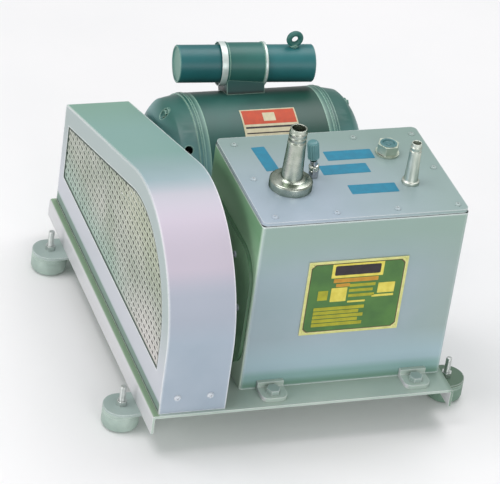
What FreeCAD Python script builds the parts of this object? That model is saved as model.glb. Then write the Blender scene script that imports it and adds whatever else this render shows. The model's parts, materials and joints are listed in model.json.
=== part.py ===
"""Belt-driven, oil-sealed rotary vane vacuum pump set on a steel tray with rubber feet.

X runs along the shafts towards the tank's right side, Y runs to the back and Z points up.
The origin lies on the floor, under the middle of the tray. All sizes are millimetres.
"""
import FreeCAD, Part
import math
import os
import re
import Sketcher

Vector = FreeCAD.Vector

# Driving sizes, one cell each.
SIZES = {
    # Steel tray with folded sides, its foot plates and rubber feet
    "tray_width": 430,
    "tray_depth": 535,
    "tray_height": 28,
    "tray_wall": 4,
    "foot_reach": 20,
    "foot_front_inset": 70,
    "foot_rear_inset": 88,
    "foot_plate_wall": 4,
    "foot_plate_lap": 14,
    "rubber_radius": 25.5,
    "rubber_height": 28,
    "rubber_round": 6,
    "stud_radius": 4,
    "stud_rise": 30,
    "stud_depth": 16,
    "stud_nut_flats": 13,
    "stud_nut_height": 7,
    # Clearances and bolt ends shared by mating pieces
    "fit_gap": 0.05,
    "running_gap": 0.05,
    "seat_gap": 0.2,
    "bolt_tail": 2,
    "shaft_end": 3,
    "screw_relief": 1,
    "plate_relief": 0.5,
    "tool_overrun": 1,
    # Belt guard
    "guard_wall": 1.5,
    "guard_width": 93,
    "guard_side_gap": 9,
    "guard_end_gap": 4,
    "guard_arc_radius": 166,
    "guard_arc_height": 94,
    "guard_slope": 16.3,
    "window_border": 29,
    "window_rear_border": 20,
    "window_sill": 52,
    "mesh_wall": 1.2,
    "mesh_lap": 8,
    "mesh_length": 34,
    "mesh_rise": 17,
    "mesh_strand": 3,
    "bracket_wall": 3,
    "bracket_width": 72,
    "bracket_height": 40,
    "bracket_foot": 26,
    "guard_screw_height": 25,
    "guard_screw_spacing": 46,
    "guard_screw_radius": 3,
    "guard_screw_head": 4.5,
    "guard_screw_head_height": 2.5,
    "guard_rear_room": 65,
    # Belt drive
    "pump_axis_height": 112,
    "motor_axis_inset": 430,
    "pump_pulley_radius": 102,
    "motor_pulley_radius": 36,
    "pulley_width": 35,
    "groove_pitch": 15,
    "groove_depth": 11,
    "groove_angle": 20,
    "belt_top": 13,
    "belt_depth": 8,
    "belt_gap": 0.3,
    "rim_thickness": 20,
    "web_thickness": 9,
    "hub_radius": 25,
    "small_hub_radius": 22,
    "hub_length": 44,
    "lightening_radius": 19,
    "lightening_circle": 53,
    "shaft_radius": 12,
    "key_width": 8,
    "key_height": 7,
    "key_length": 30,
    # Oil tank, gasket, cover and hold-down lugs
    "tank_width": 290,
    "tank_depth": 211,
    "tank_height": 261,
    "tank_wall": 4,
    "tank_corner": 4,
    "tank_side_gap": 31.5,
    "tank_front_gap": 42,
    "rim_width": 24,
    "rim_depth": 10,
    "gasket_wall": 1,
    "cover_wall": 5,
    "cover_corner": 8,
    "cover_screw_left": 20,
    "cover_screw_right": 12.5,
    "cover_screw_front": 13,
    "cover_screw_rear": 19,
    "cover_screw_radius": 2.5,
    "cover_screw_head": 4.5,
    "cover_screw_height": 2.6,
    "lug_width": 37,
    "lug_wall": 6,
    "lug_reach": 33,
    "lug_height": 13.5,
    "lug_corner": 11,
    "lug_inset": 42,
    "lug_bolt_reach": 18.5,
    "lug_bolt_radius": 5,
    "lug_bolt_flats": 17,
    "lug_bolt_head": 6.5,
    "lug_nut_height": 8,
    "plate_width": 141,
    "plate_height": 117,
    "plate_wall": 1,
    "plate_inset": 73,
    "plate_rise": 83,
    # Ports on the cover, each placed from two of the tank's walls
    "port_step": 1,
    "inlet_inset": 64,
    "inlet_depth": 83,
    "inlet_boss_radius": 29,
    "inlet_boss_height": 13,
    "inlet_boss_chamfer": 2,
    "inlet_shoulder_radius": 17,
    "inlet_shoulder_height": 3,
    "inlet_neck_height": 50,
    "inlet_tube_radius": 12.5,
    "inlet_bore_radius": 9,
    "inlet_height": 91,
    "inlet_barb_length": 20,
    "barb_depth": 1.2,
    "barb_flank": 1,
    "ballast_inset": 103.5,
    "ballast_depth": 104,
    "ballast_flats": 13,
    "ballast_hex_height": 13,
    "ballast_lean": 10,
    "ballast_neck_radius": 5,
    "ballast_neck_height": 12,
    "ballast_neck_root": 3,
    "ballast_bore_radius": 3,
    "ballast_passage_radius": 1.5,
    "knob_radius": 8,
    "knob_top_radius": 4,
    "knob_dome_height": 3.5,
    "knob_height": 27,
    "knob_lift": 4,
    "knob_edge": 1,
    "filler_inset": 64,
    "filler_depth": 62,
    "filler_flats": 27,
    "filler_height": 13,
    "filler_flange_radius": 16.5,
    "filler_flange_height": 2.5,
    "filler_spigot_radius": 10,
    "filler_spigot_length": 14,
    "filler_recess_radius": 10,
    "filler_recess_depth": 6,
    "exhaust_inset": 58,
    "exhaust_depth": 74,
    "exhaust_foot_radius": 12,
    "exhaust_foot_height": 4,
    "exhaust_base_radius": 9.5,
    "exhaust_taper_height": 40,
    "exhaust_top_radius": 8,
    "exhaust_bore_radius": 5.5,
    "exhaust_barb_length": 12,
    "exhaust_height": 62,
    # Fittings in the tank's walls
    "sight_radius": 22,
    "sight_glass_radius": 15,
    "sight_depth": 9,
    "sight_rise": 112,
    "sight_inset": 60,
    "drain_radius": 8,
    "drain_flats": 19,
    "drain_head": 9,
    "drain_rise": 22,
    "seal_flange_radius": 36,
    "seal_flange_wall": 8,
    "seal_hub_radius": 25,
    "seal_hub_length": 11,
    "seal_radius": 20,
    "seal_width": 8,
    "shaft_clearance": 1,
    "flange_margin": 6,
    "flange_height": 182,
    "flange_wall": 5,
    "flange_corner": 45,
    "flange_screw_circle": 71,
    "flange_screw_grip": 10,
    # Pumping module, hung from the tank's left wall
    "module_radius": 70,
    "end_plate_radius": 80,
    "drive_plate_wall": 20,
    "low_stage_length": 72,
    "middle_plate_wall": 14,
    "high_stage_length": 32,
    "rear_plate_wall": 16,
    "module_flat": 58,
    "rotor_radius": 42,
    "rotor_offset": 6,
    "rotor_gap": 0.3,
    "vane_wall": 5,
    "vane_height": 23,
    "vane_inset": 0.2,
    "bush_radius": 17,
    "module_bolt_radius": 4,
    "module_bolt_circle": 60,
    "module_bolt_flats": 13,
    "module_bolt_head": 5.5,
    "module_bolt_short": 5,
    "valve_width": 24,
    "valve_wall": 3,
    "valve_offset": 4,
    "valve_end": 4,
    "duct_wall": 3,
    # Motor
    "motor_radius": 103,
    "motor_length": 202,
    "motor_wall": 4.5,
    "motor_side_gap": 7.5,
    "motor_floor_gap": 1,
    "shield_depth": 46,
    "shield_wall": 5,
    "shield_rim": 5,
    "shield_rim_step": 1.5,
    "shield_shoulder": 28,
    "shield_shoulder_drop": 6,
    "shield_face_radius": 71,
    "shield_round": 50,
    "shield_spigot": 2,
    "shield_hub_radius": 34,
    "shield_hub_taper": 2,
    "shield_hub_length": 2,
    "shield_hub_face": 4,
    "shield_vent_radius": 7,
    "shield_vent_circle": 54,
    "side_vent_radius": 6,
    "side_vent_depth": 19,
    "bearing_radius": 26,
    "bearing_width": 15,
    "motor_foot_wall": 6,
    "motor_foot_length": 38,
    "motor_foot_half": 96,
    "motor_foot_web": 69,
    "motor_foot_inset": 31,
    "motor_bolt_spacing": 160,
    "motor_bolt_radius": 5,
    "motor_bolt_flats": 17,
    "motor_bolt_head": 7,
    "motor_nut_height": 8,
    "rail_height": 8,
    "rail_width": 36,
    "rail_length": 200,
    "core_end_room": 56,
    "core_bore": 56,
    "core_gap": 0.6,
    "core_notch": 5.5,
    "winding_length": 24,
    "winding_room": 22.5,
    "winding_inner": 61,
    "rotor_ring_length": 12,
    "fan_gap": 4,
    "fan_width": 20,
    "fan_inset": 5,
    "fan_blade": 2.5,
    "fan_disc_radius": 57,
    "fan_disc": 3,
    "fan_hub": 21,
    "tie_bolt_inset": 15,
    "tie_bolt_radius": 3,
    "tie_bolt_flats": 10,
    "tie_bolt_head": 4,
    "tie_boss_radius": 8,
    "tie_boss_depth": 33,
    "tie_boss_length": 15,
    # Capacitor canister on its bracket
    "can_radius": 27,
    "can_length": 199,
    "can_gap": 12,
    "can_tilt": 21.2,
    "can_skew": 4.9,
    "can_shift": -8.3,
    "can_rim": 2,
    "collar_wall": 3,
    "collar_length": 65.5,
    "collar_shift": -4.2,
    "collar_band_wall": 1,
    "collar_left_band": 9.5,
    "collar_right_band": 4.5,
    "saddle_length": 56,
    "saddle_depth": 40,
    "eye_radius": 8.5,
    "eye_wire": 4,
    "eye_shank_radius": 5.5,
    "eye_shank_length": 2,
    "eye_shift": 69.7,
    "gland_flats": 20,
    "gland_length": 9,
    "gland_nose_radius": 7.5,
    "gland_nose_length": 12,
    "gland_bore": 4,
    "gland_thread_radius": 6,
    "gland_circle": 53,
}

# Places that several pieces share, each a formula of the sizes above.
PLACES = {
    "side_bottom": "rubber_height + foot_plate_wall",
    "tray_top": "side_bottom + tray_height",
    "tray_side": "tray_width / 2",
    "tray_front": "-tray_depth / 2",
    "tray_rear": "tray_depth / 2",
    "guard_left": "guard_side_gap - tray_side",
    "guard_front": "tray_front + guard_end_gap",
    "guard_rear": "motor_y + motor_pulley_radius + guard_rear_room",
    "guard_right": "guard_left + guard_width",
    "belt_plane": "guard_left + guard_width / 2",
    "pump_y": "tank_front + tank_depth / 2",
    "pump_z": "tray_top + pump_axis_height",
    "motor_y": "tray_front + motor_axis_inset",
    "motor_axis_height": "rail_height + motor_floor_gap + motor_radius",
    "motor_z": "tray_top + motor_axis_height",
    "tank_left": "guard_right + tank_side_gap",
    "tank_right": "tank_left + tank_width",
    "tank_front": "tray_front + tank_front_gap",
    "tank_rear": "tank_front + tank_depth",
    "tank_top": "tray_top + tank_height",
    "cover_bottom": "tank_top + gasket_wall",
    "cover_top": "cover_bottom + cover_wall",
    "module_left": "tank_left + tank_wall",
    "low_left": "module_left + drive_plate_wall",
    "middle_left": "low_left + low_stage_length",
    "high_left": "middle_left + middle_plate_wall",
    "rear_left": "high_left + high_stage_length",
    "module_right": "rear_left + rear_plate_wall",
    "module_top": "pump_z + module_flat",
    "stage_bore": "rotor_radius + rotor_offset + rotor_gap",
    "shaft_bore": "shaft_radius + running_gap",
    "shield_reach": "shield_depth + shield_hub_length",
    "motor_left": "guard_right + motor_side_gap + shield_reach",
    "motor_right": "motor_left + motor_length",
    "motor_middle": "motor_left + motor_length / 2",
    "motor_bore": "motor_radius - motor_wall",
    "motor_foot_spacing": "motor_length - motor_foot_inset * 2",
    "core_length": "motor_length - core_end_room * 2",
    "tie_circle": "motor_radius - tie_bolt_inset",
    "winding_outer": "motor_bore - winding_room",
    "fan_radius": "tie_circle - tie_boss_radius - fan_gap",
    "can_x": "motor_middle + can_shift",
    "can_distance": "motor_radius + can_gap + can_radius",
    "can_y": "motor_y + can_distance * sin(can_tilt)",
    "can_z": "motor_z + can_distance * cos(can_tilt)",
}

doc = FreeCAD.newDocument("VacuumPump")
sheet = doc.addObject("Spreadsheet::Sheet", "Sizes")
for row, (alias, size) in enumerate(SIZES.items(), start=1):
    sheet.set("A%d" % row, alias)
    sheet.set("B%d" % row, str(size))
    sheet.setAlias("B%d" % row, alias)
doc.recompute()

nodes = []


def formula(text):
    """Turn a plain formula of sizes and places into one that reads the sheet's cells."""
    def read(match):
        word = match.group(0)
        if word in PLACES:
            return "(" + formula(PLACES[word]) + ")"
        if word in SIZES:
            return "Sizes." + word
        return word
    return re.sub(r"[a-z][a-z_]+", read, str(text))


def number(text):
    """Value of a formula now."""
    return float(sheet.evalExpression(formula(text)))


def tie(obj, setting, text):
    """Bind one property to a formula."""
    obj.setExpression(setting, formula(text))


def place(obj, x, y, z):
    """Bind an object's position to three formulas."""
    tie(obj, "Placement.Base.x", x)
    tie(obj, "Placement.Base.y", y)
    tie(obj, "Placement.Base.z", z)


def keep(obj, label):
    """Name a finished sub-part and list it for writing."""
    obj.Label = label
    nodes.append(obj)
    return obj


# Primitives and booleans

TURNS = {
    "X": FreeCAD.Rotation(Vector(0, 1, 0), 90),
    "Y": FreeCAD.Rotation(Vector(1, 0, 0), -90),
    "Z": FreeCAD.Rotation(),
}


def box(name, corner, size):
    """Block from its lowest corner."""
    block = doc.addObject("Part::Box", name)
    for setting, text in zip(("Length", "Width", "Height"), size):
        tie(block, setting, text)
    place(block, *corner)
    return block


def rod(name, axis, start, radius, length):
    """Cylinder from the middle of its lower end."""
    cylinder = doc.addObject("Part::Cylinder", name)
    tie(cylinder, "Radius", radius)
    tie(cylinder, "Height", length)
    cylinder.Placement.Rotation = TURNS[axis]
    place(cylinder, *start)
    return cylinder


def hexagon(name, axis, start, flats, length):
    """Six-sided bar from the middle of its lower end."""
    prism = doc.addObject("Part::Prism", name)
    prism.Polygon = 6
    tie(prism, "Circumradius", "(%s) / 2 / cos(30)" % flats)
    tie(prism, "Height", length)
    prism.Placement.Rotation = TURNS[axis]
    place(prism, *start)
    return prism


def swing(obj, axis, angle):
    """Turn a piece about its own origin by a formula's angle."""
    obj.Placement.Rotation = FreeCAD.Rotation(axis, 1)
    tie(obj, "Placement.Rotation.Angle", angle)
    return obj


def fuse(name, *pieces):
    """One solid from several."""
    union = doc.addObject("Part::MultiFuse", name)
    union.Shapes = list(pieces)
    return union


def cut(name, base, *tools):
    """Base less its tools."""
    rest = doc.addObject("Part::Cut", name)
    rest.Base = base
    rest.Tool = tools[0] if len(tools) == 1 else fuse(name + "_tools", *tools)
    return rest


def group(name, pieces):
    """Separate solids that share one node."""
    compound = doc.addObject("Part::Compound", name)
    compound.Links = list(pieces)
    return compound


def tube(name, axis, start, outer, inner, length):
    """Plain ring or tube."""
    return cut(name, rod(name + "_outer", axis, start, outer, length),
               rod(name + "_bore", axis, start, inner, length))


# Bodies with sketches

def new_body(name, x="0", y="0", z="0"):
    """Body at a place."""
    body = doc.addObject("PartDesign::Body", name)
    place(body, x, y, z)
    return body


def datum(body, role):
    """One of a body's own origin planes or axes."""
    return next(f for f in body.Origin.OriginFeatures if f.Role == role)


def sketch(body, role, offset="0"):
    """Sketch on an origin plane, moved along the plane's normal."""
    drawing = body.newObject("Sketcher::SketchObject", body.Name + "_sketch")
    drawing.AttachmentSupport = [(datum(body, role), "")]
    drawing.MapMode = "FlatFace"
    tie(drawing, "AttachmentOffset.Base.z", offset)
    return drawing


def dimension(drawing, kind, value, *where):
    """Sketch dimension bound to a formula."""
    index = drawing.addConstraint(Sketcher.Constraint(kind, *where, number(value)))
    drawing.setExpression("Constraints[%d]" % index, formula(value))


def locate(drawing, geometry, vertex, x, y):
    """Hold one point of a sketch at two formulas."""
    dimension(drawing, "DistanceX", x, -1, 1, geometry, vertex)
    dimension(drawing, "DistanceY", y, -1, 1, geometry, vertex)


def arc_between(first, last, radius, turn):
    """Arc from first to last; turn is 1 anticlockwise and -1 clockwise."""
    chord = last - first
    rise = math.sqrt(max(radius ** 2 - chord.Length ** 2 / 4, 0))
    normal = Vector(-chord.y, chord.x, 0).normalize() * turn
    centre = (first + last) / 2 + normal * rise
    begin, end = (first, last) if turn > 0 else (last, first)
    from_angle = math.atan2(begin.y - centre.y, begin.x - centre.x)
    to_angle = math.atan2(end.y - centre.y, end.x - centre.x)
    if to_angle <= from_angle:
        to_angle += 2 * math.pi
    return Part.ArcOfCircle(Part.Circle(centre, Vector(0, 0, 1), radius), from_angle, to_angle)


def outline(drawing, corners):
    """Closed outline. A corner is (x, y), or (x, y, radius, turn) where an arc leaves it."""
    points = [Vector(number(corner[0]), number(corner[1]), 0) for corner in corners]
    edges = []
    for index, corner in enumerate(corners):
        first, last = points[index], points[(index + 1) % len(points)]
        if len(corner) == 2:
            edges.append((drawing.addGeometry(Part.LineSegment(first, last)), 1, 2))
            continue
        arc = arc_between(first, last, number(corner[2]), corner[3])
        edges.append((drawing.addGeometry(arc),) + ((1, 2) if corner[3] > 0 else (2, 1)))
    for index, (edge, begin, _) in enumerate(edges):
        before, _, end = edges[index - 1]
        drawing.addConstraint(Sketcher.Constraint("Coincident", before, end, edge, begin))
    for corner, (edge, begin, _) in zip(corners, edges):
        locate(drawing, edge, begin, corner[0], corner[1])
        if len(corner) > 2:
            dimension(drawing, "Radius", corner[2], edge)


def rectangle(drawing, left, bottom, right, top):
    """Upright rectangle."""
    outline(drawing, [(left, bottom), (right, bottom), (right, top), (left, top)])


def circle(drawing, x, y, radius):
    """Full circle."""
    ring = Part.Circle(Vector(number(x), number(y), 0), Vector(0, 0, 1), number(radius))
    geometry = drawing.addGeometry(ring)
    locate(drawing, geometry, 3, x, y)
    dimension(drawing, "Radius", radius, geometry)


def pad(body, drawing, length, back=False):
    """Raise a sketch along its normal, or against it."""
    feature = body.newObject("PartDesign::Pad", body.Name + "_pad")
    feature.Profile = drawing
    tie(feature, "Length", length)
    feature.Reversed = back
    doc.recompute()
    return feature


def pocket(body, drawing, length, ahead=False):
    """Cut a sketch against its normal, or along it."""
    before = body.Shape.Volume
    feature = body.newObject("PartDesign::Pocket", body.Name + "_pocket")
    feature.Profile = drawing
    tie(feature, "Length", length)
    feature.Reversed = ahead
    doc.recompute()
    if not body.Shape.Volume < before - 0.01:
        raise RuntimeError(body.Label + ": a pocket removes nothing")
    return feature


def revolve(body, drawing, axis):
    """Turn a sketch once about its own horizontal or vertical axis."""
    feature = body.newObject("PartDesign::Revolution", body.Name + "_revolution")
    feature.Profile = drawing
    feature.ReferenceAxis = (drawing, [axis])
    feature.Angle = 360
    doc.recompute()
    return feature


def around(body, feature, role, count):
    """Repeat a feature about one of the body's axes."""
    pattern = body.newObject("PartDesign::PolarPattern", body.Name + "_pattern")
    pattern.Originals = [feature]
    pattern.Axis = (datum(body, role), [""])
    pattern.Angle = 360
    pattern.Occurrences = count
    body.Tip = pattern
    doc.recompute()
    return pattern


def fillet(body, feature, radius, wanted):
    """Round the straight edges that the test picks by their middle point and direction."""
    names = []
    for index, edge in enumerate(feature.Shape.Edges, start=1):
        if len(edge.Vertexes) == 2 and wanted(edge.CenterOfMass, edge.tangentAt(edge.FirstParameter)):
            names.append("Edge%d" % index)
    rounding = body.newObject("PartDesign::Fillet", body.Name + "_fillet")
    rounding.Base = (feature, names)
    tie(rounding, "Radius", radius)
    body.Tip = rounding
    doc.recompute()
    return rounding


def turned(name, profile, x="0", y="0", z="0", axis="V_Axis"):
    """Turned piece: profile of (radius, height) about Z, or (length, radius) about X."""
    body = new_body(name, x, y, z)
    drawing = sketch(body, "XZ_Plane")
    outline(drawing, profile)
    revolve(body, drawing, axis)
    return body


def bolt(name, axis, seat, flats, head, radius, length):
    """Hexagon bolt: its shank runs below the seat along the axis, and its head above."""
    x, y, z = seat
    low = {"X": ("%s - (%s)" % (x, length), y, z), "Z": (x, y, "%s - (%s)" % (z, length))}[axis]
    return fuse(name, rod(name + "_shank", axis, low, radius, length),
                hexagon(name + "_head", axis, seat, flats, head))


def nut(name, start, flats, height, radius):
    """Upright hexagon nut from the middle of its lower face."""
    return cut(name, hexagon(name + "_blank", "Z", start, flats, height),
               rod(name + "_thread", "Z", start, radius + " + fit_gap", height))


# Tray and feet

CORNERS = [("left", "front"), ("left", "rear"), ("right", "front"), ("right", "rear")]


def foot_centre(side, end):
    """Middle of a foot: outboard of the tray's side, inset from its end."""
    x = "-(tray_side + foot_reach)" if side == "left" else "tray_side + foot_reach"
    y = "tray_front + foot_front_inset" if end == "front" else "tray_rear - foot_rear_inset"
    return x, y


def lug_centre(side, end):
    """Middle of a lug's bolt hole."""
    x = "tank_left + lug_inset" if side == "left" else "tank_right - lug_inset"
    y = "tank_front - lug_bolt_reach" if end == "front" else "tank_rear + lug_bolt_reach"
    return x, y


def motor_bolt_places():
    """Middles of the motor's four foot bolts."""
    return [("motor_middle %s motor_foot_spacing / 2" % a, "motor_y %s motor_bolt_spacing / 2" % b)
            for a in "-+" for b in "-+"]


def base_tray():
    """Folded plate, open at the front and back, with its bolt holes."""
    body = new_body("base_tray")
    section = sketch(body, "XZ_Plane", "-tray_depth / 2")
    inner = "tray_side - tray_wall"
    under = "tray_top - tray_wall"
    outline(section, [("-tray_side", "side_bottom"), ("-tray_side", "tray_top"),
                      ("tray_side", "tray_top"), ("tray_side", "side_bottom"),
                      (inner, "side_bottom"), (inner, under),
                      ("-(%s)" % inner, under), ("-(%s)" % inner, "side_bottom")])
    plate = pad(body, section, "tray_depth")
    top = number("tray_top") - 0.1
    bent = fillet(body, plate, "tray_wall", lambda at, way: abs(way.y) > 0.9 and at.z > top)
    holes = sketch(body, "XY_Plane", "tray_top")
    for side, end in CORNERS:
        circle(holes, *lug_centre(side, end), "lug_bolt_radius + fit_gap")
    for x, y in motor_bolt_places():
        circle(holes, x, y, "motor_bolt_radius + fit_gap")
    pocket(body, holes, "tray_wall * 2")
    keep(body, "base_tray")


def foot_brackets():
    """Round-ended plates under the tray's sides, one for each foot."""
    plates = []
    for side, end in CORNERS:
        name = "foot_plate_%s_%s" % (side, end)
        x, y = foot_centre(side, end)
        inboard = "-(tray_side - foot_plate_lap)" if side == "left" else x
        strip = box(name + "_strip", (x if side == "left" else "tray_side - foot_plate_lap",
                                      y + " - rubber_radius", "rubber_height"),
                    ("foot_reach + foot_plate_lap", "rubber_radius * 2", "foot_plate_wall"))
        end_disc = rod(name + "_end", "Z", (x, y, "rubber_height"), "rubber_radius", "foot_plate_wall")
        hole = rod(name + "_hole", "Z", (x, y, "rubber_height"), "stud_radius + fit_gap", "foot_plate_wall")
        plates.append(cut(name, fuse(name + "_blank", strip, end_disc), hole))
    keep(group("foot_brackets", plates), "foot_brackets")


def rubber_feet():
    """Rubber buffers with a rounded foot and a blind hole for the stud."""
    for side, end in CORNERS:
        x, y = foot_centre(side, end)
        floor_radius = "rubber_radius - rubber_round"
        socket = "stud_radius + fit_gap"
        bottom = "rubber_height - stud_depth"
        foot = turned("rubber_foot_%s_%s" % (end, side), [
            ("0", "0"), (floor_radius, "0", "rubber_round", 1), ("rubber_radius", "rubber_round"),
            ("rubber_radius", "rubber_height"), (socket, "rubber_height"), (socket, bottom),
            ("0", bottom)], x, y)
        keep(foot, foot.Name)


def foot_fasteners():
    """A stud and a nut at each foot."""
    pieces = []
    for side, end in CORNERS:
        name = "foot_%s_%s" % (side, end)
        x, y = foot_centre(side, end)
        pieces.append(rod(name + "_stud", "Z", (x, y, "rubber_height - stud_depth"), "stud_radius",
                          "stud_depth + foot_plate_wall + stud_rise"))
        pieces.append(nut(name + "_nut", (x, y, "side_bottom"), "stud_nut_flats", "stud_nut_height",
                          "stud_radius"))
    keep(group("foot_fasteners", pieces), "foot_fasteners")


# Belt guard

def guard_outline(drawing, edge, rear_edge, foot):
    """Guard's side view inset by edge: upright front, arc, slope, upright rear and a flat foot."""
    radius = "guard_arc_radius - (%s)" % edge
    middle_y = "(guard_front + guard_arc_radius)"
    middle_z = "(tray_top + guard_arc_height)"
    front = "guard_front + (%s)" % edge
    rear = "guard_rear - (%s)" % rear_edge
    crest_y = "%s + (%s) * sin(guard_slope)" % (middle_y, radius)
    crest_z = "%s + (%s) * cos(guard_slope)" % (middle_z, radius)
    rear_z = "%s + ((%s) - (%s - %s) * sin(guard_slope)) / cos(guard_slope)" % (
        middle_z, radius, rear, middle_y)
    outline(drawing, [(front, foot), (front, middle_z, radius, -1), (crest_y, crest_z),
                      (rear, rear_z), (rear, foot)])


def guard_shell():
    """Sheet guard: outer side with its window, and a rim all round, open towards the tank."""
    body = new_body("guard_shell")
    side = sketch(body, "YZ_Plane", "guard_left")
    guard_outline(side, "0", "0", "tray_top")
    pad(body, side, "guard_width")
    inside = sketch(body, "YZ_Plane", "guard_left + guard_wall")
    guard_outline(inside, "guard_wall", "guard_wall", "tray_top - guard_wall")
    pocket(body, inside, "guard_width", ahead=True)
    window = sketch(body, "YZ_Plane", "guard_left")
    guard_outline(window, "window_border", "window_rear_border", "tray_top + window_sill")
    pocket(body, window, "guard_wall", ahead=True)
    for face in ("guard_front", "guard_rear - guard_wall"):
        holes = sketch(body, "XZ_Plane", "-(%s)" % face)
        for sign in "-+":
            circle(holes, "belt_plane %s guard_screw_spacing / 2" % sign,
                   "tray_top + guard_screw_height", "guard_screw_radius + fit_gap")
        pocket(body, holes, "guard_wall")
    keep(body, "guard_shell")


def in_window(y, z, margin):
    """True where a point lies inside the guard's window by the margin."""
    edge = number("window_border") + margin
    middle_y = number("guard_front + guard_arc_radius")
    middle_z = number("tray_top + guard_arc_height")
    radius = number("guard_arc_radius") - edge
    slope = math.radians(number("guard_slope"))
    if y < number("guard_front") + edge or y > number("guard_rear - window_rear_border") - margin:
        return False
    if z < number("tray_top + window_sill") + margin:
        return False
    across, up = y - middle_y, z - middle_z
    if across * math.sin(slope) + up * math.cos(slope) > radius:
        return False
    before_crest = across * math.cos(slope) - up * math.sin(slope) < 0
    return not (before_crest and up > 0 and math.hypot(across, up) > radius)


def mesh_diamonds():
    """Diamond punches in staggered rows, each whole inside the window."""
    long_half = number("(mesh_length - mesh_strand * 2) / 2")
    short_half = number("(mesh_rise - mesh_strand) / 2")
    left = number("guard_left + guard_wall - tool_overrun")
    depth = Vector(number("mesh_wall + tool_overrun * 2"), 0, 0)
    punches = []
    rows = int(number("guard_arc_radius * 2") / number("mesh_rise / 2"))
    columns = int(number("tray_depth") / number("mesh_length"))
    for row in range(rows):
        z = number("tray_top + window_sill") + (row + 1) * number("mesh_rise / 2")
        for column in range(columns + 1):
            y = number("guard_front") + (column + row % 2 / 2) * number("mesh_length")
            corners = [(y - long_half, z), (y, z - short_half), (y + long_half, z), (y, z + short_half)]
            if all(in_window(*corner, number("mesh_strand / 2")) for corner in corners):
                wire = Part.makePolygon([Vector(left, *corner) for corner in corners + corners[:1]])
                punches.append(Part.Face(wire).extrude(depth))
    feature = doc.addObject("Part::Feature", "mesh_diamonds")
    feature.Shape = Part.Compound(punches)
    return feature


def guard_mesh():
    """Expanded metal panel behind the window."""
    body = new_body("mesh_sheet")
    sheet_outline = sketch(body, "YZ_Plane", "guard_left + guard_wall")
    guard_outline(sheet_outline, "window_border - mesh_lap", "window_rear_border - mesh_lap",
                  "tray_top + window_sill - mesh_lap")
    pad(body, sheet_outline, "mesh_wall")
    keep(cut("guard_mesh", body, mesh_diamonds()), "guard_mesh")


def guard_fixing(end):
    """Angle bracket on the tray behind the guard's front or rear panel, with its two screws."""
    name = "guard_bracket_" + end
    inner = "guard_front + guard_wall" if end == "front" else "guard_rear - guard_wall - bracket_wall"
    foot_y = inner if end == "front" else "guard_rear - guard_wall - bracket_foot"
    left = "belt_plane - bracket_width / 2"
    upright = box(name + "_upright", (left, inner, "tray_top"),
                  ("bracket_width", "bracket_wall", "bracket_height"))
    foot = box(name + "_foot", (left, foot_y, "tray_top"),
               ("bracket_width", "bracket_foot", "bracket_wall"))
    holes = []
    screws = []
    for sign in "-+":
        x = "belt_plane %s guard_screw_spacing / 2" % sign
        z = "tray_top + guard_screw_height"
        tag = name + ("_left" if sign == "-" else "_right")
        holes.append(rod(tag + "_hole", "Y", (x, inner, z), "guard_screw_radius + fit_gap", "bracket_wall"))
        reach = "guard_wall + bracket_wall + bolt_tail"
        if end == "front":
            shank_y, head_y = "guard_front", "guard_front - guard_screw_head_height"
        else:
            shank_y, head_y = "guard_rear - (%s)" % reach, "guard_rear"
        shank = rod(tag + "_shank", "Y", (x, shank_y, z), "guard_screw_radius", reach)
        head = rod(tag + "_head", "Y", (x, head_y, z), "guard_screw_head", "guard_screw_head_height")
        screws.append(fuse(tag + "_screw", shank, head))
    return cut(name, fuse(name + "_blank", upright, foot), *holes), screws


def guard_fixings():
    """Both brackets and all four guard screws."""
    front, front_screws = guard_fixing("front")
    rear, rear_screws = guard_fixing("rear")
    keep(group("guard_brackets", [front, rear]), "guard_brackets")
    keep(group("guard_screws", front_screws + rear_screws), "guard_screws")


# Belt drive

def groove_corners(middle, rim):
    """V-groove in a turned profile, from its left lip to its right one."""
    half_top = "(belt_top / 2 + belt_gap / cos(groove_angle))"
    half_foot = "(%s - groove_depth * tan(groove_angle))" % half_top
    return [("%s - %s" % (middle, half_top), rim), ("%s - %s" % (middle, half_foot), rim + " - groove_depth"),
            ("%s + %s" % (middle, half_foot), rim + " - groove_depth"), ("%s + %s" % (middle, half_top), rim)]


def key_slot(name, side_y, side_z, start):
    """Slot for a key in a hub, a gap wider than the key."""
    return box(name, (start, side_y + " - key_width / 2 - fit_gap", side_z),
               ("hub_length", "key_width + fit_gap * 2", "shaft_radius + key_height / 2 + fit_gap"))


def pump_pulley():
    """Large cast pulley: two grooves, a thin web with round lightening holes, and a hub."""
    body = new_body("pump_pulley_blank", "belt_plane", "pump_y", "pump_z")
    half = "pulley_width / 2"
    web = "web_thickness / 2"
    rim_inner = "pump_pulley_radius - rim_thickness"
    hub_end = "hub_length - pulley_width / 2"
    bore = "shaft_radius + fit_gap"
    profile = [("-" + half, bore), ("-" + half, "hub_radius"), ("-" + web, "hub_radius"),
               ("-" + web, rim_inner), ("-" + half, rim_inner), ("-" + half, "pump_pulley_radius")]
    profile += groove_corners("-groove_pitch / 2", "pump_pulley_radius")
    profile += groove_corners("groove_pitch / 2", "pump_pulley_radius")
    profile += [(half, "pump_pulley_radius"), (half, rim_inner), (web, rim_inner), (web, "hub_radius"),
                (hub_end, "hub_radius"), (hub_end, bore)]
    drawing = sketch(body, "XZ_Plane")
    outline(drawing, profile)
    revolve(body, drawing, "H_Axis")
    hole = sketch(body, "YZ_Plane", web)
    circle(hole, "lightening_circle", "0", "lightening_radius")
    around(body, pocket(body, hole, "web_thickness"), "X_Axis", 5)
    slot = key_slot("pump_pulley_slot", "pump_y", "pump_z", "belt_plane - pulley_width / 2")
    keep(cut("pump_pulley", body, slot), "pump_pulley")


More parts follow.
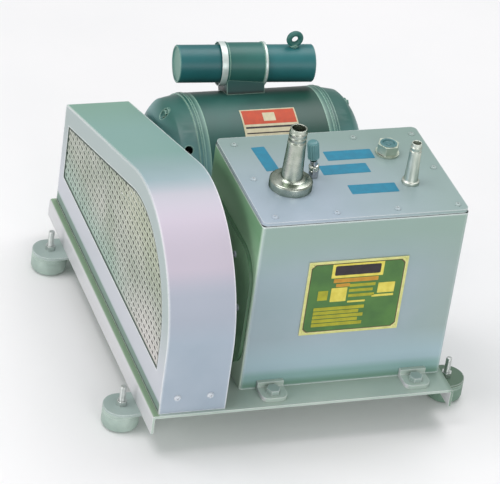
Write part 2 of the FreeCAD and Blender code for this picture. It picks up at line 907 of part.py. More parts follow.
def motor_pulley():
    """Small solid pulley with the same grooves and a hub towards the motor."""
    half = "pulley_width / 2"
    hub_end = "hub_length - pulley_width / 2"
    bore = "shaft_radius + fit_gap"
    profile = [("-" + half, bore), ("-" + half, "motor_pulley_radius")]
    profile += groove_corners("-groove_pitch / 2", "motor_pulley_radius")
    profile += groove_corners("groove_pitch / 2", "motor_pulley_radius")
    profile += [(half, "motor_pulley_radius"), (half, "small_hub_radius"),
                (hub_end, "small_hub_radius"), (hub_end, bore)]
    body = turned("motor_pulley_blank", profile, "belt_plane", "motor_y", "motor_z", "H_Axis")
    slot = key_slot("motor_pulley_slot", "motor_y", "motor_z", "belt_plane - pulley_width / 2")
    keep(cut("motor_pulley", body, slot), "motor_pulley")


def pulley_key(name, y, z):
    """Parallel key, half in the shaft and half in the hub."""
    bar = box(name, ("belt_plane - key_length / 2", y + " - key_width / 2",
                     z + " + shaft_radius - key_height / 2"),
              ("key_length", "key_width", "key_height"))
    keep(bar, name)


def shaft_key_slot(name, y, z):
    """Key seat in a shaft."""
    return box(name, ("belt_plane - key_length / 2 - fit_gap", y + " - key_width / 2 - fit_gap",
                      z + " + shaft_radius - key_height / 2 - fit_gap"),
               ("key_length + fit_gap * 2", "key_width + fit_gap * 2", "key_height"))


def belt_loop(middle):
    """One V-belt: two straight runs and two wrapped arcs of the same section."""
    big, small = number("pump_pulley_radius"), number("motor_pulley_radius")
    first = Vector(0, number("pump_y"), number("pump_z"))
    second = Vector(0, number("motor_y"), number("motor_z"))
    span = second - first
    along = Vector(span).normalize()
    upward = Vector(0, -along.z, along.y)
    lean = (big - small) / span.Length
    top_half = number("belt_top / 2")
    foot_half = top_half - number("belt_depth * tan(groove_angle)")
    depth = number("belt_depth")
    run_length = math.sqrt(span.Length ** 2 - (big - small) ** 2)
    pieces = []
    for side in (1, -1):
        outward = along * lean + upward * math.sqrt(1 - lean ** 2) * side
        forward = Vector(0, -outward.z, outward.y) * -side

        def section(centre, radius):
            out, deep = centre + outward * radius, centre + outward * (radius - depth)
            corners = [out + Vector(middle - top_half, 0, 0), out + Vector(middle + top_half, 0, 0),
                       deep + Vector(middle + foot_half, 0, 0), deep + Vector(middle - foot_half, 0, 0)]
            return Part.Face(Part.makePolygon(corners + corners[:1]))

        pieces.append(section(first, big).extrude(forward * run_length))
        if side == 1:
            wrap = 2 * math.degrees(math.acos(lean))
            pieces.append(section(second, small).revolve(second, Vector(-1, 0, 0), wrap))
            pieces.append(section(first, big).revolve(first, Vector(1, 0, 0), 360 - wrap))
    return pieces[0].multiFuse(pieces[1:]).removeSplitter()


def v_belts():
    """Two matched belts, side by side."""
    feature = doc.addObject("Part::Feature", "v_belts")
    middle = number("belt_plane")
    offset = number("groove_pitch / 2")
    feature.Shape = Part.Compound([belt_loop(middle - offset), belt_loop(middle + offset)])
    keep(feature, "v_belts")


# Oil tank and cover

def cover_screw_places():
    """Screw places round the cover: four along the front and back, one in the middle of each side."""
    left, right = "tank_left + cover_screw_left", "tank_right - cover_screw_right"
    pitch = "(tank_width - cover_screw_left - cover_screw_right) / 3"
    ends = ["tank_front + cover_screw_front", "tank_rear - cover_screw_rear"]
    rows = [("%s + %s * %d" % (left, pitch, step), y) for y in ends for step in range(4)]
    return rows + [(x, "tank_front + tank_depth / 2") for x in (left, right)]


PORTS = {
    "inlet": ("tank_left + inlet_inset", "tank_front + inlet_depth"),
    "ballast": ("tank_left + ballast_inset", "tank_front + ballast_depth"),
    "filler": ("tank_right - filler_inset", "tank_rear - filler_depth"),
    "exhaust": ("tank_right - exhaust_inset", "tank_front + exhaust_depth"),
}

FLANGE_SCREWS = [("pump_y + flange_screw_circle * cos(%d)" % angle,
                  "pump_z + flange_screw_circle * sin(%d)" % angle) for angle in range(0, 360, 60)]


def upright_edges(at, way):
    """Picks edges that run along Z."""
    return abs(way.z) > 0.99


def oil_tank():
    """Welded box with an inner rim under the cover, and holes for the shaft, glass and drain."""
    body = new_body("oil_tank")
    plan = sketch(body, "XY_Plane", "tray_top")
    rectangle(plan, "tank_left", "tank_front", "tank_right", "tank_rear")
    block = pad(body, plan, "tank_height")
    fillet(body, block, "tank_corner", upright_edges)
    mouth = sketch(body, "XY_Plane", "tank_top")
    rectangle(mouth, "tank_left + rim_width", "tank_front + rim_width",
              "tank_right - rim_width", "tank_rear - rim_width")
    pocket(body, mouth, "tank_height - tank_wall")
    hollow = sketch(body, "XY_Plane", "tank_top - rim_depth")
    rectangle(hollow, "tank_left + tank_wall", "tank_front + tank_wall",
              "tank_right - tank_wall", "tank_rear - tank_wall")
    pocket(body, hollow, "tank_height - rim_depth - tank_wall")
    threads = sketch(body, "XY_Plane", "tank_top")
    for x, y in cover_screw_places():
        circle(threads, x, y, "cover_screw_radius")
    pocket(body, threads, "rim_depth")
    shaft_hole = sketch(body, "YZ_Plane", "tank_left")
    circle(shaft_hole, "pump_y", "pump_z", "seal_hub_radius + fit_gap")
    for y, z in FLANGE_SCREWS:
        circle(shaft_hole, y, z, "cover_screw_radius")
    pocket(body, shaft_hole, "tank_wall", ahead=True)
    side_holes = sketch(body, "YZ_Plane", "tank_right")
    circle(side_holes, "tank_front + sight_inset", "tray_top + sight_rise", "sight_glass_radius + fit_gap")
    circle(side_holes, "tank_front + sight_inset", "tray_top + drain_rise", "drain_radius + fit_gap")
    pocket(body, side_holes, "tank_wall")
    keep(body, "oil_tank")


def cover_gasket():
    """Flat gasket on the rim."""
    body = new_body("cover_gasket")
    plan = sketch(body, "XY_Plane", "tank_top")
    rectangle(plan, "tank_left", "tank_front", "tank_right", "tank_rear")
    rectangle(plan, "tank_left + rim_width", "tank_front + rim_width",
              "tank_right - rim_width", "tank_rear - rim_width")
    for x, y in cover_screw_places():
        circle(plan, x, y, "cover_screw_radius")
    ring = pad(body, plan, "gasket_wall")
    side = number("tank_width / 2") - 0.1
    middle = number("tank_left + tank_width / 2")
    fillet(body, ring, "tank_corner",
           lambda at, way: upright_edges(at, way) and abs(at.x - middle) > side)
    keep(body, "cover_gasket")


def tank_cover():
    """Thick cover plate with screw holes and a hole for each port."""
    body = new_body("tank_cover")
    plan = sketch(body, "XY_Plane", "cover_bottom")
    rectangle(plan, "tank_left", "tank_front", "tank_right", "tank_rear")
    plate = pad(body, plan, "cover_wall")
    fillet(body, plate, "cover_corner", upright_edges)
    holes = sketch(body, "XY_Plane", "cover_top")
    for x, y in cover_screw_places():
        circle(holes, x, y, "cover_screw_radius")
    circle(holes, *PORTS["inlet"], "inlet_bore_radius + port_step")
    circle(holes, *PORTS["ballast"], "ballast_bore_radius + port_step")
    circle(holes, *PORTS["filler"], "filler_spigot_radius + running_gap")
    circle(holes, *PORTS["exhaust"], "exhaust_bore_radius + port_step")
    pocket(body, holes, "cover_wall")
    keep(body, "tank_cover")


def button_screw(name, axis, shank_start, head_start, length):
    """Screw with a low round head."""
    return fuse(name, rod(name + "_shank", axis, shank_start, "cover_screw_radius - fit_gap", length),
                rod(name + "_head", axis, head_start, "cover_screw_head", "cover_screw_height"))


def tank_screws():
    """Low screws of one kind: ten down into the rim, and six through the flange plate into the module."""
    screws = []
    length = "cover_wall + gasket_wall + rim_depth - screw_relief"
    for index, (x, y) in enumerate(cover_screw_places(), start=1):
        screws.append(button_screw("cover_screw_%d" % index, "Z", (x, y, "cover_top - (%s)" % length),
                                   (x, y, "cover_top"), length))
    face = "tank_left - flange_wall"
    for index, (y, z) in enumerate(FLANGE_SCREWS, start=1):
        screws.append(button_screw("flange_screw_%d" % index, "X", (face, y, z),
                                   (face + " - cover_screw_height", y, z),
                                   "flange_wall + tank_wall + flange_screw_grip"))
    keep(group("tank_screws", screws), "tank_screws")


def tank_lugs():
    """Angle lugs on the tank's lower front and back edges, and the bolts that hold them down."""
    lugs = []
    bolts = []
    for side, end in CORNERS:
        x, y = lug_centre(side, end)
        name = "lug_%s_%s" % (side, end)
        body = new_body(name + "_blank")
        face, out, turn = ("tank_front", "-", 1) if end == "front" else ("tank_rear", "+", -1)
        tip = "%s %s lug_reach" % (face, out)
        shoulder = "%s %s (lug_reach - lug_corner)" % (face, out)
        left, right = x + " - lug_width / 2", x + " + lug_width / 2"
        plan = sketch(body, "XY_Plane", "tray_top")
        outline(plan, [(left, face), (left, shoulder, "lug_corner", turn), (left + " + lug_corner", tip),
                       (right + " - lug_corner", tip, "lug_corner", turn), (right, shoulder),
                       (right, face)])
        pad(body, plan, "lug_wall")
        upright = sketch(body, "XY_Plane", "tray_top")
        rectangle(upright, left, face, right, "%s %s lug_wall" % (face, out))
        pad(body, upright, "lug_height")
        hole = rod(name + "_hole", "Z", (x, y, "tray_top"), "lug_bolt_radius + fit_gap", "lug_wall")
        lugs.append(cut(name, body, hole))
        bolts.append(bolt(name + "_bolt", "Z", (x, y, "tray_top + lug_wall"), "lug_bolt_flats",
                          "lug_bolt_head", "lug_bolt_radius",
                          "lug_wall + tray_wall + lug_nut_height + bolt_tail"))
        bolts.append(nut(name + "_nut", (x, y, "tray_top - tray_wall - lug_nut_height"),
                         "lug_bolt_flats", "lug_nut_height", "lug_bolt_radius"))
    keep(group("tank_lugs", lugs), "tank_lugs")
    keep(group("lug_bolts", bolts), "lug_bolts")


def tank_nameplate():
    """Bare plate on the tank's front."""
    plate = box("tank_nameplate", ("tank_left + plate_inset", "tank_front - plate_wall",
                                   "tray_top + plate_rise"),
                ("plate_width", "plate_wall", "plate_height"))
    keep(plate, "tank_nameplate")


# Ports and fittings

def barbs(radius, top, length, count):
    """Ribbed end of a turned nozzle, from its lowest rib up to its mouth."""
    profile = []
    for step in range(count):
        foot = "%s - %s * %d / %d" % (top, length, count - step, count)
        profile += [(radius, foot), (radius + " - barb_depth", foot + " + barb_flank")]
    return profile + [(radius + " - barb_depth", top)]


def inlet_port():
    """Suction nozzle: wide boss, and a tall tube that tapers to a ribbed end."""
    profile = [("inlet_bore_radius", "0"), ("inlet_boss_radius", "0"),
               ("inlet_boss_radius", "inlet_boss_height - inlet_boss_chamfer"),
               ("inlet_boss_radius - inlet_boss_chamfer", "inlet_boss_height"),
               ("inlet_shoulder_radius", "inlet_boss_height + inlet_shoulder_height"),
               ("inlet_tube_radius", "inlet_boss_height + inlet_neck_height")]
    profile += barbs("inlet_tube_radius", "inlet_height", "inlet_barb_length", 3)
    profile += [("inlet_bore_radius", "inlet_height")]
    port = turned("inlet_port", profile, *PORTS["inlet"], "cover_top")
    keep(port, "inlet_port")


def ballast_valve():
    """Gas ballast valve: an upright hexagon, and a neck with a domed knob that lean towards the inlet."""
    x, y = PORTS["ballast"]
    lean = Vector(0, -1, 0)
    root = "cover_top + ballast_hex_height - ballast_neck_root"
    length = "(ballast_neck_root + ballast_neck_height)"
    hex_foot = hexagon("ballast_hex", "Z", (x, y, "cover_top"), "ballast_flats", "ballast_hex_height")
    neck = rod("ballast_neck", "Z", (x, y, root), "ballast_neck_radius", length)
    bore = rod("ballast_bore", "Z", (x, y, root), "ballast_bore_radius + running_gap", length)
    passage = rod("ballast_passage", "Z", (x, y, "cover_top"), "ballast_passage_radius",
                  "ballast_hex_height")
    for piece in (neck, bore):
        swing(piece, lean, "ballast_lean")
    keep(cut("ballast_body", fuse("ballast_blank", hex_foot, neck), bore, passage), "ballast_body")
    top = "knob_lift + knob_height"
    profile = [("0", "-ballast_neck_height"), ("ballast_bore_radius", "-ballast_neck_height"),
               ("ballast_bore_radius", "knob_lift"), ("knob_radius - knob_edge", "knob_lift"),
               ("knob_radius", "knob_lift + knob_edge"),
               ("knob_radius", top + " - knob_dome_height", "knob_radius", 1),
               ("knob_top_radius", top), ("0", top)]
    knob = turned("ballast_knob", profile, "%s - %s * sin(ballast_lean)" % (x, length), y,
                  "%s + %s * cos(ballast_lean)" % (root, length))
    keep(swing(knob, lean, "ballast_lean"), "ballast_knob")


def filler_plug():
    """Oil filler plug: hexagon head with a shallow recess, sealing flange and spigot."""
    x, y = PORTS["filler"]
    flange = rod("filler_flange", "Z", (x, y, "cover_top"), "filler_flange_radius", "filler_flange_height")
    head = hexagon("filler_head", "Z", (x, y, "cover_top + filler_flange_height"), "filler_flats",
                   "filler_height")
    spigot = rod("filler_spigot", "Z", (x, y, "cover_top - filler_spigot_length"),
                 "filler_spigot_radius", "filler_spigot_length")
    recess = rod("filler_recess", "Z",
                 (x, y, "cover_top + filler_flange_height + filler_height - filler_recess_depth"),
                 "filler_recess_radius", "filler_recess_depth")
    keep(cut("filler_plug", fuse("filler_blank", flange, head, spigot), recess), "filler_plug")


def exhaust_tube():
    """Exhaust nozzle: round foot, tapered tube and a ribbed end."""
    profile = [("exhaust_bore_radius", "0"), ("exhaust_foot_radius", "0"),
               ("exhaust_foot_radius", "exhaust_foot_height"),
               ("exhaust_base_radius", "exhaust_foot_height + barb_flank"),
               ("exhaust_top_radius", "exhaust_taper_height")]
    profile += barbs("exhaust_top_radius", "exhaust_height", "exhaust_barb_length", 2)
    profile += [("exhaust_bore_radius", "exhaust_height")]
    tube_body = turned("exhaust_tube", profile, *PORTS["exhaust"], "cover_top")
    keep(tube_body, "exhaust_tube")


def side_fittings():
    """Oil sight glass and drain plug in the tank's right wall."""
    y = "tank_front + sight_inset"
    z = "tray_top + sight_rise"
    spigot = rod("sight_spigot", "X", ("tank_right - tank_wall", y, z), "sight_glass_radius", "tank_wall")
    flange = rod("sight_flange", "X", ("tank_right", y, z), "sight_radius", "sight_depth")
    keep(fuse("sight_glass", spigot, flange), "sight_glass")
    z = "tray_top + drain_rise"
    shank = rod("drain_shank", "X", ("tank_right - tank_wall * 2", y, z), "drain_radius", "tank_wall * 2")
    head = hexagon("drain_hexagon", "X", ("tank_right", y, z), "drain_flats", "drain_head")
    keep(fuse("drain_plug", shank, head), "drain_plug")


def flange_plate():
    """Round-cornered plate outside the tank's left wall, which carries the module's screws."""
    body = new_body("flange_plate")
    face = sketch(body, "YZ_Plane", "tank_left - flange_wall")
    rectangle(face, "tank_front + flange_margin", "pump_z - flange_height / 2",
              "tank_rear - flange_margin", "pump_z + flange_height / 2")
    plate = pad(body, face, "flange_wall")
    fillet(body, plate, "flange_corner", lambda at, way: abs(way.x) > 0.99)
    holes = sketch(body, "YZ_Plane", "tank_left - flange_wall")
    circle(holes, "pump_y", "pump_z", "(seal_hub_radius + seal_flange_radius) / 2")
    for y, z in FLANGE_SCREWS:
        circle(holes, y, z, "cover_screw_radius")
    pocket(body, holes, "flange_wall", ahead=True)
    return body


def shaft_seal():
    """Seal housing with its flange plate on the tank's left wall, and the lip seal."""
    hub = "seal_flange_wall + seal_hub_length"
    clear = "shaft_radius + shaft_clearance"
    profile = [("tank_wall", clear), ("tank_wall", "seal_hub_radius"), ("0", "seal_hub_radius"),
               ("0", "seal_flange_radius"), ("-seal_flange_wall", "seal_flange_radius"),
               ("-seal_flange_wall", "seal_hub_radius"), ("-(%s)" % hub, "seal_hub_radius"),
               ("-(%s)" % hub, "seal_radius + fit_gap"),
               ("seal_width - (%s)" % hub, "seal_radius + fit_gap"), ("seal_width - (%s)" % hub, clear)]
    hub_body = turned("seal_hub", profile, "tank_left", "pump_y", "pump_z", "H_Axis")
    keep(fuse("seal_housing", flange_plate(), hub_body), "seal_housing")
    ring = tube("shaft_seal", "X", ("tank_left - (%s)" % hub, "pump_y", "pump_z"), "seal_radius",
                "shaft_bore", "seal_width")
    keep(ring, "shaft_seal")


# Pumping module

MODULE_BOLTS = [("pump_y %s module_bolt_circle * cos(45)" % a, "pump_z %s module_bolt_circle * sin(45)" % b)
                for a in "-+" for b in "-+"]


def module_plate(name, left, wall, radius, hole, threads=()):
    """Round plate of the module with its shaft hole, bolt holes and the threads for the flange screws."""
    blank = rod(name + "_blank", "X", (left, "pump_y", "pump_z"), radius, wall)
    tools = [rod(name + "_hole", "X", (left, "pump_y", "pump_z"), hole, wall)]
    for index, (y, z) in enumerate(MODULE_BOLTS):
        tools.append(rod("%s_bolt_hole_%d" % (name, index), "X", (left, y, z),
                         "module_bolt_radius + fit_gap", wall))
    for index, (y, z) in enumerate(threads):
        tools.append(rod("%s_thread_%d" % (name, index), "X", (left, y, z), "cover_screw_radius",
                         "flange_screw_grip + bolt_tail"))
    keep(cut(name, blank, *tools), name)


def module_stator(name, left, length):
    """Stator ring with an offset bore, a flat top for the valves and four bolt holes."""
    body = new_body(name, left, "pump_y", "pump_z")
    face = sketch(body, "YZ_Plane")
    half_flat = "sqrt(module_radius ^ 2 - module_flat ^ 2)"
    outline(face, [(half_flat, "module_flat"), ("-" + half_flat, "module_flat", "module_radius", 1),
                   ("0", "-module_radius", "module_radius", 1)])
    circle(face, "0", "-rotor_offset", "stage_bore")
    for a in "-+":
        for b in "-+":
            circle(face, "%s module_bolt_circle * cos(45)" % a, "%s module_bolt_circle * sin(45)" % b,
                   "module_bolt_radius + fit_gap")
    pad(body, face, length)
    keep(body, name)


def slotted_rotor(name, left, length):
    """Round rotor with two vane slots."""
    start = (left + " + rotor_gap", "pump_y", "pump_z")
    run = "%s - rotor_gap * 2" % length
    tools = [rod(name + "_bore", "X", start, "shaft_radius + fit_gap", run)]
    for side, low in (("top", "pump_z + rotor_radius - vane_height - fit_gap"),
                      ("bottom", "pump_z - rotor_radius - tool_overrun")):
        tools.append(box("%s_%s_slot" % (name, side),
                         (start[0], "pump_y - vane_wall / 2 - fit_gap", low),
                         (run, "vane_wall + fit_gap * 2", "vane_height + fit_gap + tool_overrun")))
    return cut(name, rod(name + "_blank", "X", start, "rotor_radius", run), *tools)


def stage_vanes(name, left, length):
    """Two vanes drawn back into their slots."""
    run = "%s - rotor_gap * 2" % length
    vanes = []
    for side, low in (("top", "pump_z + rotor_radius - vane_height"),
                      ("bottom", "pump_z - rotor_radius + vane_inset")):
        vanes.append(box("%s_%s" % (name, side), (left + " + rotor_gap", "pump_y - vane_wall / 2", low),
                         (run, "vane_wall", "vane_height - vane_inset")))
    return vanes


def pump_shaft():
    """Shaft through both stages out to the pulley, with its key seat."""
    left = "belt_plane - pulley_width / 2 - shaft_end"
    bar = rod("pump_shaft_bar", "X", (left, "pump_y", "pump_z"), "shaft_radius",
              "module_right - shaft_end - (%s)" % left)
    keep(cut("pump_shaft", bar, shaft_key_slot("pump_shaft_slot", "pump_y", "pump_z")), "pump_shaft")


def pump_module():
    """Two stages between three plates, with bushes, bolts, valves and the inlet duct."""
    hole = "bush_radius + fit_gap"
    plates = [("drive_end_plate", "module_left", "drive_plate_wall", "end_plate_radius", FLANGE_SCREWS),
              ("middle_plate", "middle_left", "middle_plate_wall", "module_radius - plate_relief", ()),
              ("rear_end_plate", "rear_left", "rear_plate_wall", "module_radius - plate_relief", ())]
    bushes = []
    for name, left, wall, radius, threads in plates:
        module_plate(name, left, wall, radius, hole, threads)
        bushes.append(tube(name + "_bush", "X", (left, "pump_y", "pump_z"), "bush_radius", "shaft_bore",
                           wall))
    keep(group("shaft_bushes", bushes), "shaft_bushes")
    module_stator("low_stage_stator", "low_left", "low_stage_length")
    module_stator("high_stage_stator", "high_left", "high_stage_length")
    pump_shaft()
    keep(group("pump_rotors", [slotted_rotor("low_stage_rotor", "low_left", "low_stage_length"),
                               slotted_rotor("high_stage_rotor", "high_left", "high_stage_length")]),
         "pump_rotors")
    vanes = stage_vanes("low_vane", "low_left", "low_stage_length")
    vanes += stage_vanes("high_vane", "high_left", "high_stage_length")
    keep(group("rotor_vanes", vanes), "rotor_vanes")
    bolts = []
    for index, (y, z) in enumerate(MODULE_BOLTS):
        bolts.append(bolt("module_bolt_%d" % index, "X", ("module_right", y, z), "module_bolt_flats",
                          "module_bolt_head", "module_bolt_radius",
                          "module_right - module_left - module_bolt_short"))
    keep(group("module_bolts", bolts), "module_bolts")
    flaps = []
    for name, left, length in (("low_valve", "low_left", "low_stage_length"),
                               ("high_valve", "high_left", "high_stage_length")):
        flaps.append(box(name, (left + " + valve_end", "pump_y + valve_offset", "module_top"),
                         (length + " - valve_end * 2", "valve_width", "valve_wall")))
    keep(group("discharge_valves", flaps), "discharge_valves")
    duct = tube("inlet_duct", "Z", (*PORTS["inlet"], "module_top"), "inlet_bore_radius + duct_wall",
                "inlet_bore_radius", "cover_bottom - module_top")
    keep(duct, "inlet_duct")


# Motor

def motor_frame():
    """Rolled shell on two cradle feet."""
    body = new_body("motor_frame_blank", "motor_middle", "motor_y", "motor_z")
    low = "rail_height - motor_axis_height"
    shelf = low + " + motor_foot_wall"
    crook = "motor_bore * cos(45)"
    for sign in "-+":
        foot = sketch(body, "YZ_Plane", "%s motor_foot_spacing / 2 - motor_foot_length / 2" % sign)
        outline(foot, [("-motor_foot_half", low), ("motor_foot_half", low), ("motor_foot_half", shelf),
                       ("motor_foot_web", shelf), (crook, "-" + crook), ("-" + crook, "-" + crook),
                       ("-motor_foot_web", shelf), ("-motor_foot_half", shelf)])
        pad(body, foot, "motor_foot_length")
    shell = sketch(body, "YZ_Plane", "-motor_length / 2")
    circle(shell, "0", "0", "motor_radius")
    pad(body, shell, "motor_length")
    bore = sketch(body, "YZ_Plane", "-motor_length / 2")
    circle(bore, "0", "0", "motor_bore")
    pocket(body, bore, "motor_length", ahead=True)
    holes = [rod("motor_foot_hole_%d" % index, "Z", (x, y, "tray_top + rail_height"),
                 "motor_bolt_radius + fit_gap", "motor_foot_wall")
             for index, (x, y) in enumerate(motor_bolt_places())]
    keep(cut("motor_frame", body, *holes), "motor_frame")


def slide_rails():
    """Two flat rails under the motor's feet, and the four bolts through feet, rails and tray."""
    rails = []
    for index, sign in enumerate("-+"):
        name = "slide_rail_%d" % index
        bar = box(name + "_bar", ("motor_middle %s motor_foot_spacing / 2 - rail_width / 2" % sign,
                                  "motor_y - rail_length / 2", "tray_top"),
                  ("rail_width", "rail_length", "rail_height"))
        holes = [rod("%s_hole_%s" % (name, "front" if side == "-" else "rear"), "Z",
                     ("motor_middle %s motor_foot_spacing / 2" % sign,
                      "motor_y %s motor_bolt_spacing / 2" % side, "tray_top"),
                     "motor_bolt_radius + fit_gap", "rail_height") for side in "-+"]
        rails.append(cut(name, bar, *holes))
    keep(group("slide_rails", rails), "slide_rails")
    pieces = []
    for index, (x, y) in enumerate(motor_bolt_places()):
        pieces.append(bolt("motor_bolt_%d" % index, "Z",
                           (x, y, "tray_top + rail_height + motor_foot_wall"), "motor_bolt_flats",
                           "motor_bolt_head", "motor_bolt_radius",
                           "motor_foot_wall + rail_height + tray_wall + motor_nut_height + bolt_tail"))
        pieces.append(nut("motor_nut_%d" % index, (x, y, "tray_top - tray_wall - motor_nut_height"),
                          "motor_bolt_flats", "motor_nut_height", "motor_bolt_radius"))
    keep(group("motor_foot_bolts", pieces), "motor_foot_bolts")


def tie_bolt_places():
    """Middles of the four long bolts that clamp the end shields."""
    return [("motor_y + tie_circle * %d" % a, "motor_z + tie_circle * %d" % b)
            for a, b in ((0, 1), (1, 0), (0, -1), (-1, 0))]


def end_shield(name, joint, out, open_end):
    """Deep bell-shaped shield with its bearing seat, vents and sunk bolt seats. Out is the side it faces."""
    body = new_body(name + "_blank", joint, "motor_y", "motor_z")
    turn = 1 if out == "-" else -1
    inward = out == "-"

    def at(depth, radius):
        return ("%s1 * (%s)" % (out, depth), radius)

    hub_foot = "shield_reach - shield_hub_face - bearing_width"
    seat = "bearing_radius + fit_gap"
    bore = "shaft_radius + shaft_clearance" if open_end else "0"
    shoulder = "motor_radius - shield_shoulder_drop"
    inner_face = "shield_depth - shield_wall"
    profile = [at("0", "motor_radius"), at("shield_rim", "motor_radius"),
               at("shield_rim", "motor_radius - shield_rim_step"),
               at("shield_shoulder", shoulder) + ("shield_round", turn),
               at("shield_depth", "shield_face_radius"), at("shield_depth", "shield_hub_radius"),
               at("shield_reach", "shield_hub_radius - shield_hub_taper"), at("shield_reach", bore),
               at("shield_reach - shield_hub_face", bore), at("shield_reach - shield_hub_face", seat),
               at(hub_foot, seat), at(hub_foot, "shield_hub_radius"),
               at(inner_face, "shield_hub_radius + shield_wall"),
               at(inner_face, "shield_face_radius - shield_wall") + ("shield_round - shield_wall", -turn),
               at("shield_shoulder", shoulder + " - shield_wall"),
               at("shield_spigot", "motor_bore - seat_gap"), at("0", "motor_bore - seat_gap")]
    drawing = sketch(body, "XZ_Plane")
    outline(drawing, profile)
    revolve(body, drawing, "H_Axis")
    boss = sketch(body, "YZ_Plane", "%s1 * tie_boss_depth" % out)
    circle(boss, "0", "tie_circle", "tie_boss_radius")
    around(body, pad(body, boss, "tie_boss_length", back=not inward), "X_Axis", 4)
    sunk = sketch(body, "YZ_Plane", "%s1 * shield_depth" % out)
    circle(sunk, "0", "tie_circle", "tie_boss_radius")
    around(body, pocket(body, sunk, "shield_depth - tie_boss_depth", ahead=inward), "X_Axis", 4)
    if open_end:
        vent = sketch(body, "YZ_Plane", "%s1 * shield_depth" % out)
        circle(vent, "0", "shield_vent_circle", "shield_vent_radius")
        around(body, pocket(body, vent, "shield_wall * 2", ahead=inward), "X_Axis", 8)
    holes = [rod("%s_tie_hole_%d" % (name, index), "X", (joint + " - shield_depth", y, z),
                 "tie_bolt_radius + fit_gap", "shield_depth * 2")
             for index, (y, z) in enumerate(tie_bolt_places())]
    for angle in (45, 135, 225, 315):
        vent = rod("%s_side_vent_%d" % (name, angle), "Z",
                   ("%s %s side_vent_depth" % (joint, out), "motor_y + shield_face_radius * sin(%d)" % angle,
                    "motor_z + shield_face_radius * cos(%d)" % angle), "side_vent_radius", "motor_radius")
        vent.Placement.Rotation = FreeCAD.Rotation(Vector(-1, 0, 0), angle)
        holes.append(vent)
    if not open_end:
        holes.append(rod(name + "_cable_hole", "X", (joint, "motor_y", "motor_z - gland_circle"),
                         "gland_thread_radius", "shield_depth"))
    keep(cut(name, body, *holes), name)


def stator_core():
    """Laminated core with notches for the long bolts, and its two winding rings."""
    left = "motor_middle - core_length / 2"
    ring = tube("core_ring", "X", (left, "motor_y", "motor_z"), "motor_bore - seat_gap", "core_bore",
                "core_length")
    tools = []
    for index, (y, z) in enumerate(tie_bolt_places()):
        tools.append(rod("core_notch_%d" % index, "X", (left, y, z), "core_notch", "core_length"))
    keep(cut("stator_core", ring, *tools), "stator_core")
    rings = [tube("winding_left", "X", (left + " - winding_length", "motor_y", "motor_z"), "winding_outer",
                  "winding_inner", "winding_length"),
             tube("winding_right", "X", (left + " + core_length", "motor_y", "motor_z"), "winding_outer",
                  "winding_inner", "winding_length")]
    keep(group("stator_windings", rings), "stator_windings")


def motor_rotor():
    """Rotor core with end rings, shaft, fan and bearings."""
    left = "motor_middle - core_length / 2"
    radius = "core_bore - core_gap"
    core = tube("rotor_core", "X", (left + " - rotor_ring_length", "motor_y", "motor_z"), radius,
                "shaft_radius + fit_gap", "core_length + rotor_ring_length * 2")
    keep(core, "rotor_core")
    shaft_left = "belt_plane - pulley_width / 2 - shaft_end"
    shaft_right = "motor_right + shield_reach - shield_hub_face - shaft_end"
    bar = rod("motor_shaft_bar", "X", (shaft_left, "motor_y", "motor_z"), "shaft_radius",
              "%s - (%s)" % (shaft_right, shaft_left))
    keep(cut("motor_shaft", bar, shaft_key_slot("motor_shaft_slot", "motor_y", "motor_z")), "motor_shaft")
    seat = "shield_reach - shield_hub_face - bearing_width"
    bearings = []
    for name, start in (("drive_bearing", "motor_left - (%s) - bearing_width" % seat),
                        ("rear_bearing", "motor_right + (%s)" % seat)):
        bearings.append(tube(name, "X", (start, "motor_y", "motor_z"), "bearing_radius", "shaft_bore",
                             "bearing_width"))
    keep(group("motor_bearings", bearings), "motor_bearings")


def motor_fan():
    """Inner fan behind the drive-end shield: disc, hub and eight straight blades."""
    body = new_body("motor_fan", "motor_left + fan_inset", "motor_y", "motor_z")
    disc = sketch(body, "YZ_Plane", "fan_width")
    circle(disc, "0", "0", "fan_disc_radius")
    pad(body, disc, "fan_disc")
    hub = sketch(body, "YZ_Plane")
    circle(hub, "0", "0", "fan_hub")
    pad(body, hub, "fan_width")
    blade = sketch(body, "YZ_Plane")
    rectangle(blade, "fan_hub - fan_blade", "-fan_blade / 2", "fan_radius", "fan_blade / 2")
    around(body, pad(body, blade, "fan_width"), "X_Axis", 8)
    bore = sketch(body, "YZ_Plane")
    circle(bore, "0", "0", "shaft_radius + fit_gap")
    pocket(body, bore, "fan_width + fan_disc", ahead=True)
    keep(body, "motor_fan")


def tie_bolts():
    """Long bolts through both shields, with a nut at the rear."""
    bolts = []
    seat = "motor_right + tie_boss_depth"
    length = "motor_length + tie_boss_depth * 2"
    for index, (y, z) in enumerate(tie_bolt_places()):
        name = "tie_bolt_%d" % index
        head = hexagon(name + "_end", "X", ("motor_left - tie_boss_depth - tie_bolt_head", y, z),
                       "tie_bolt_flats", "tie_bolt_head")
        bolts.append(fuse(name, bolt(name + "_bar", "X", (seat, y, z), "tie_bolt_flats",
                                     "tie_bolt_head", "tie_bolt_radius", length), head))
    keep(group("through_bolts", bolts), "through_bolts")


# Capacitor canister

def along_canister(name, profile):
    """Turned piece about the canister's skewed axis. Lengths run from the canister's middle."""
    body = turned(name, profile, "can_x", "can_y", "can_z", "H_Axis")
    return swing(body, Vector(0, 0, -1), "can_skew")


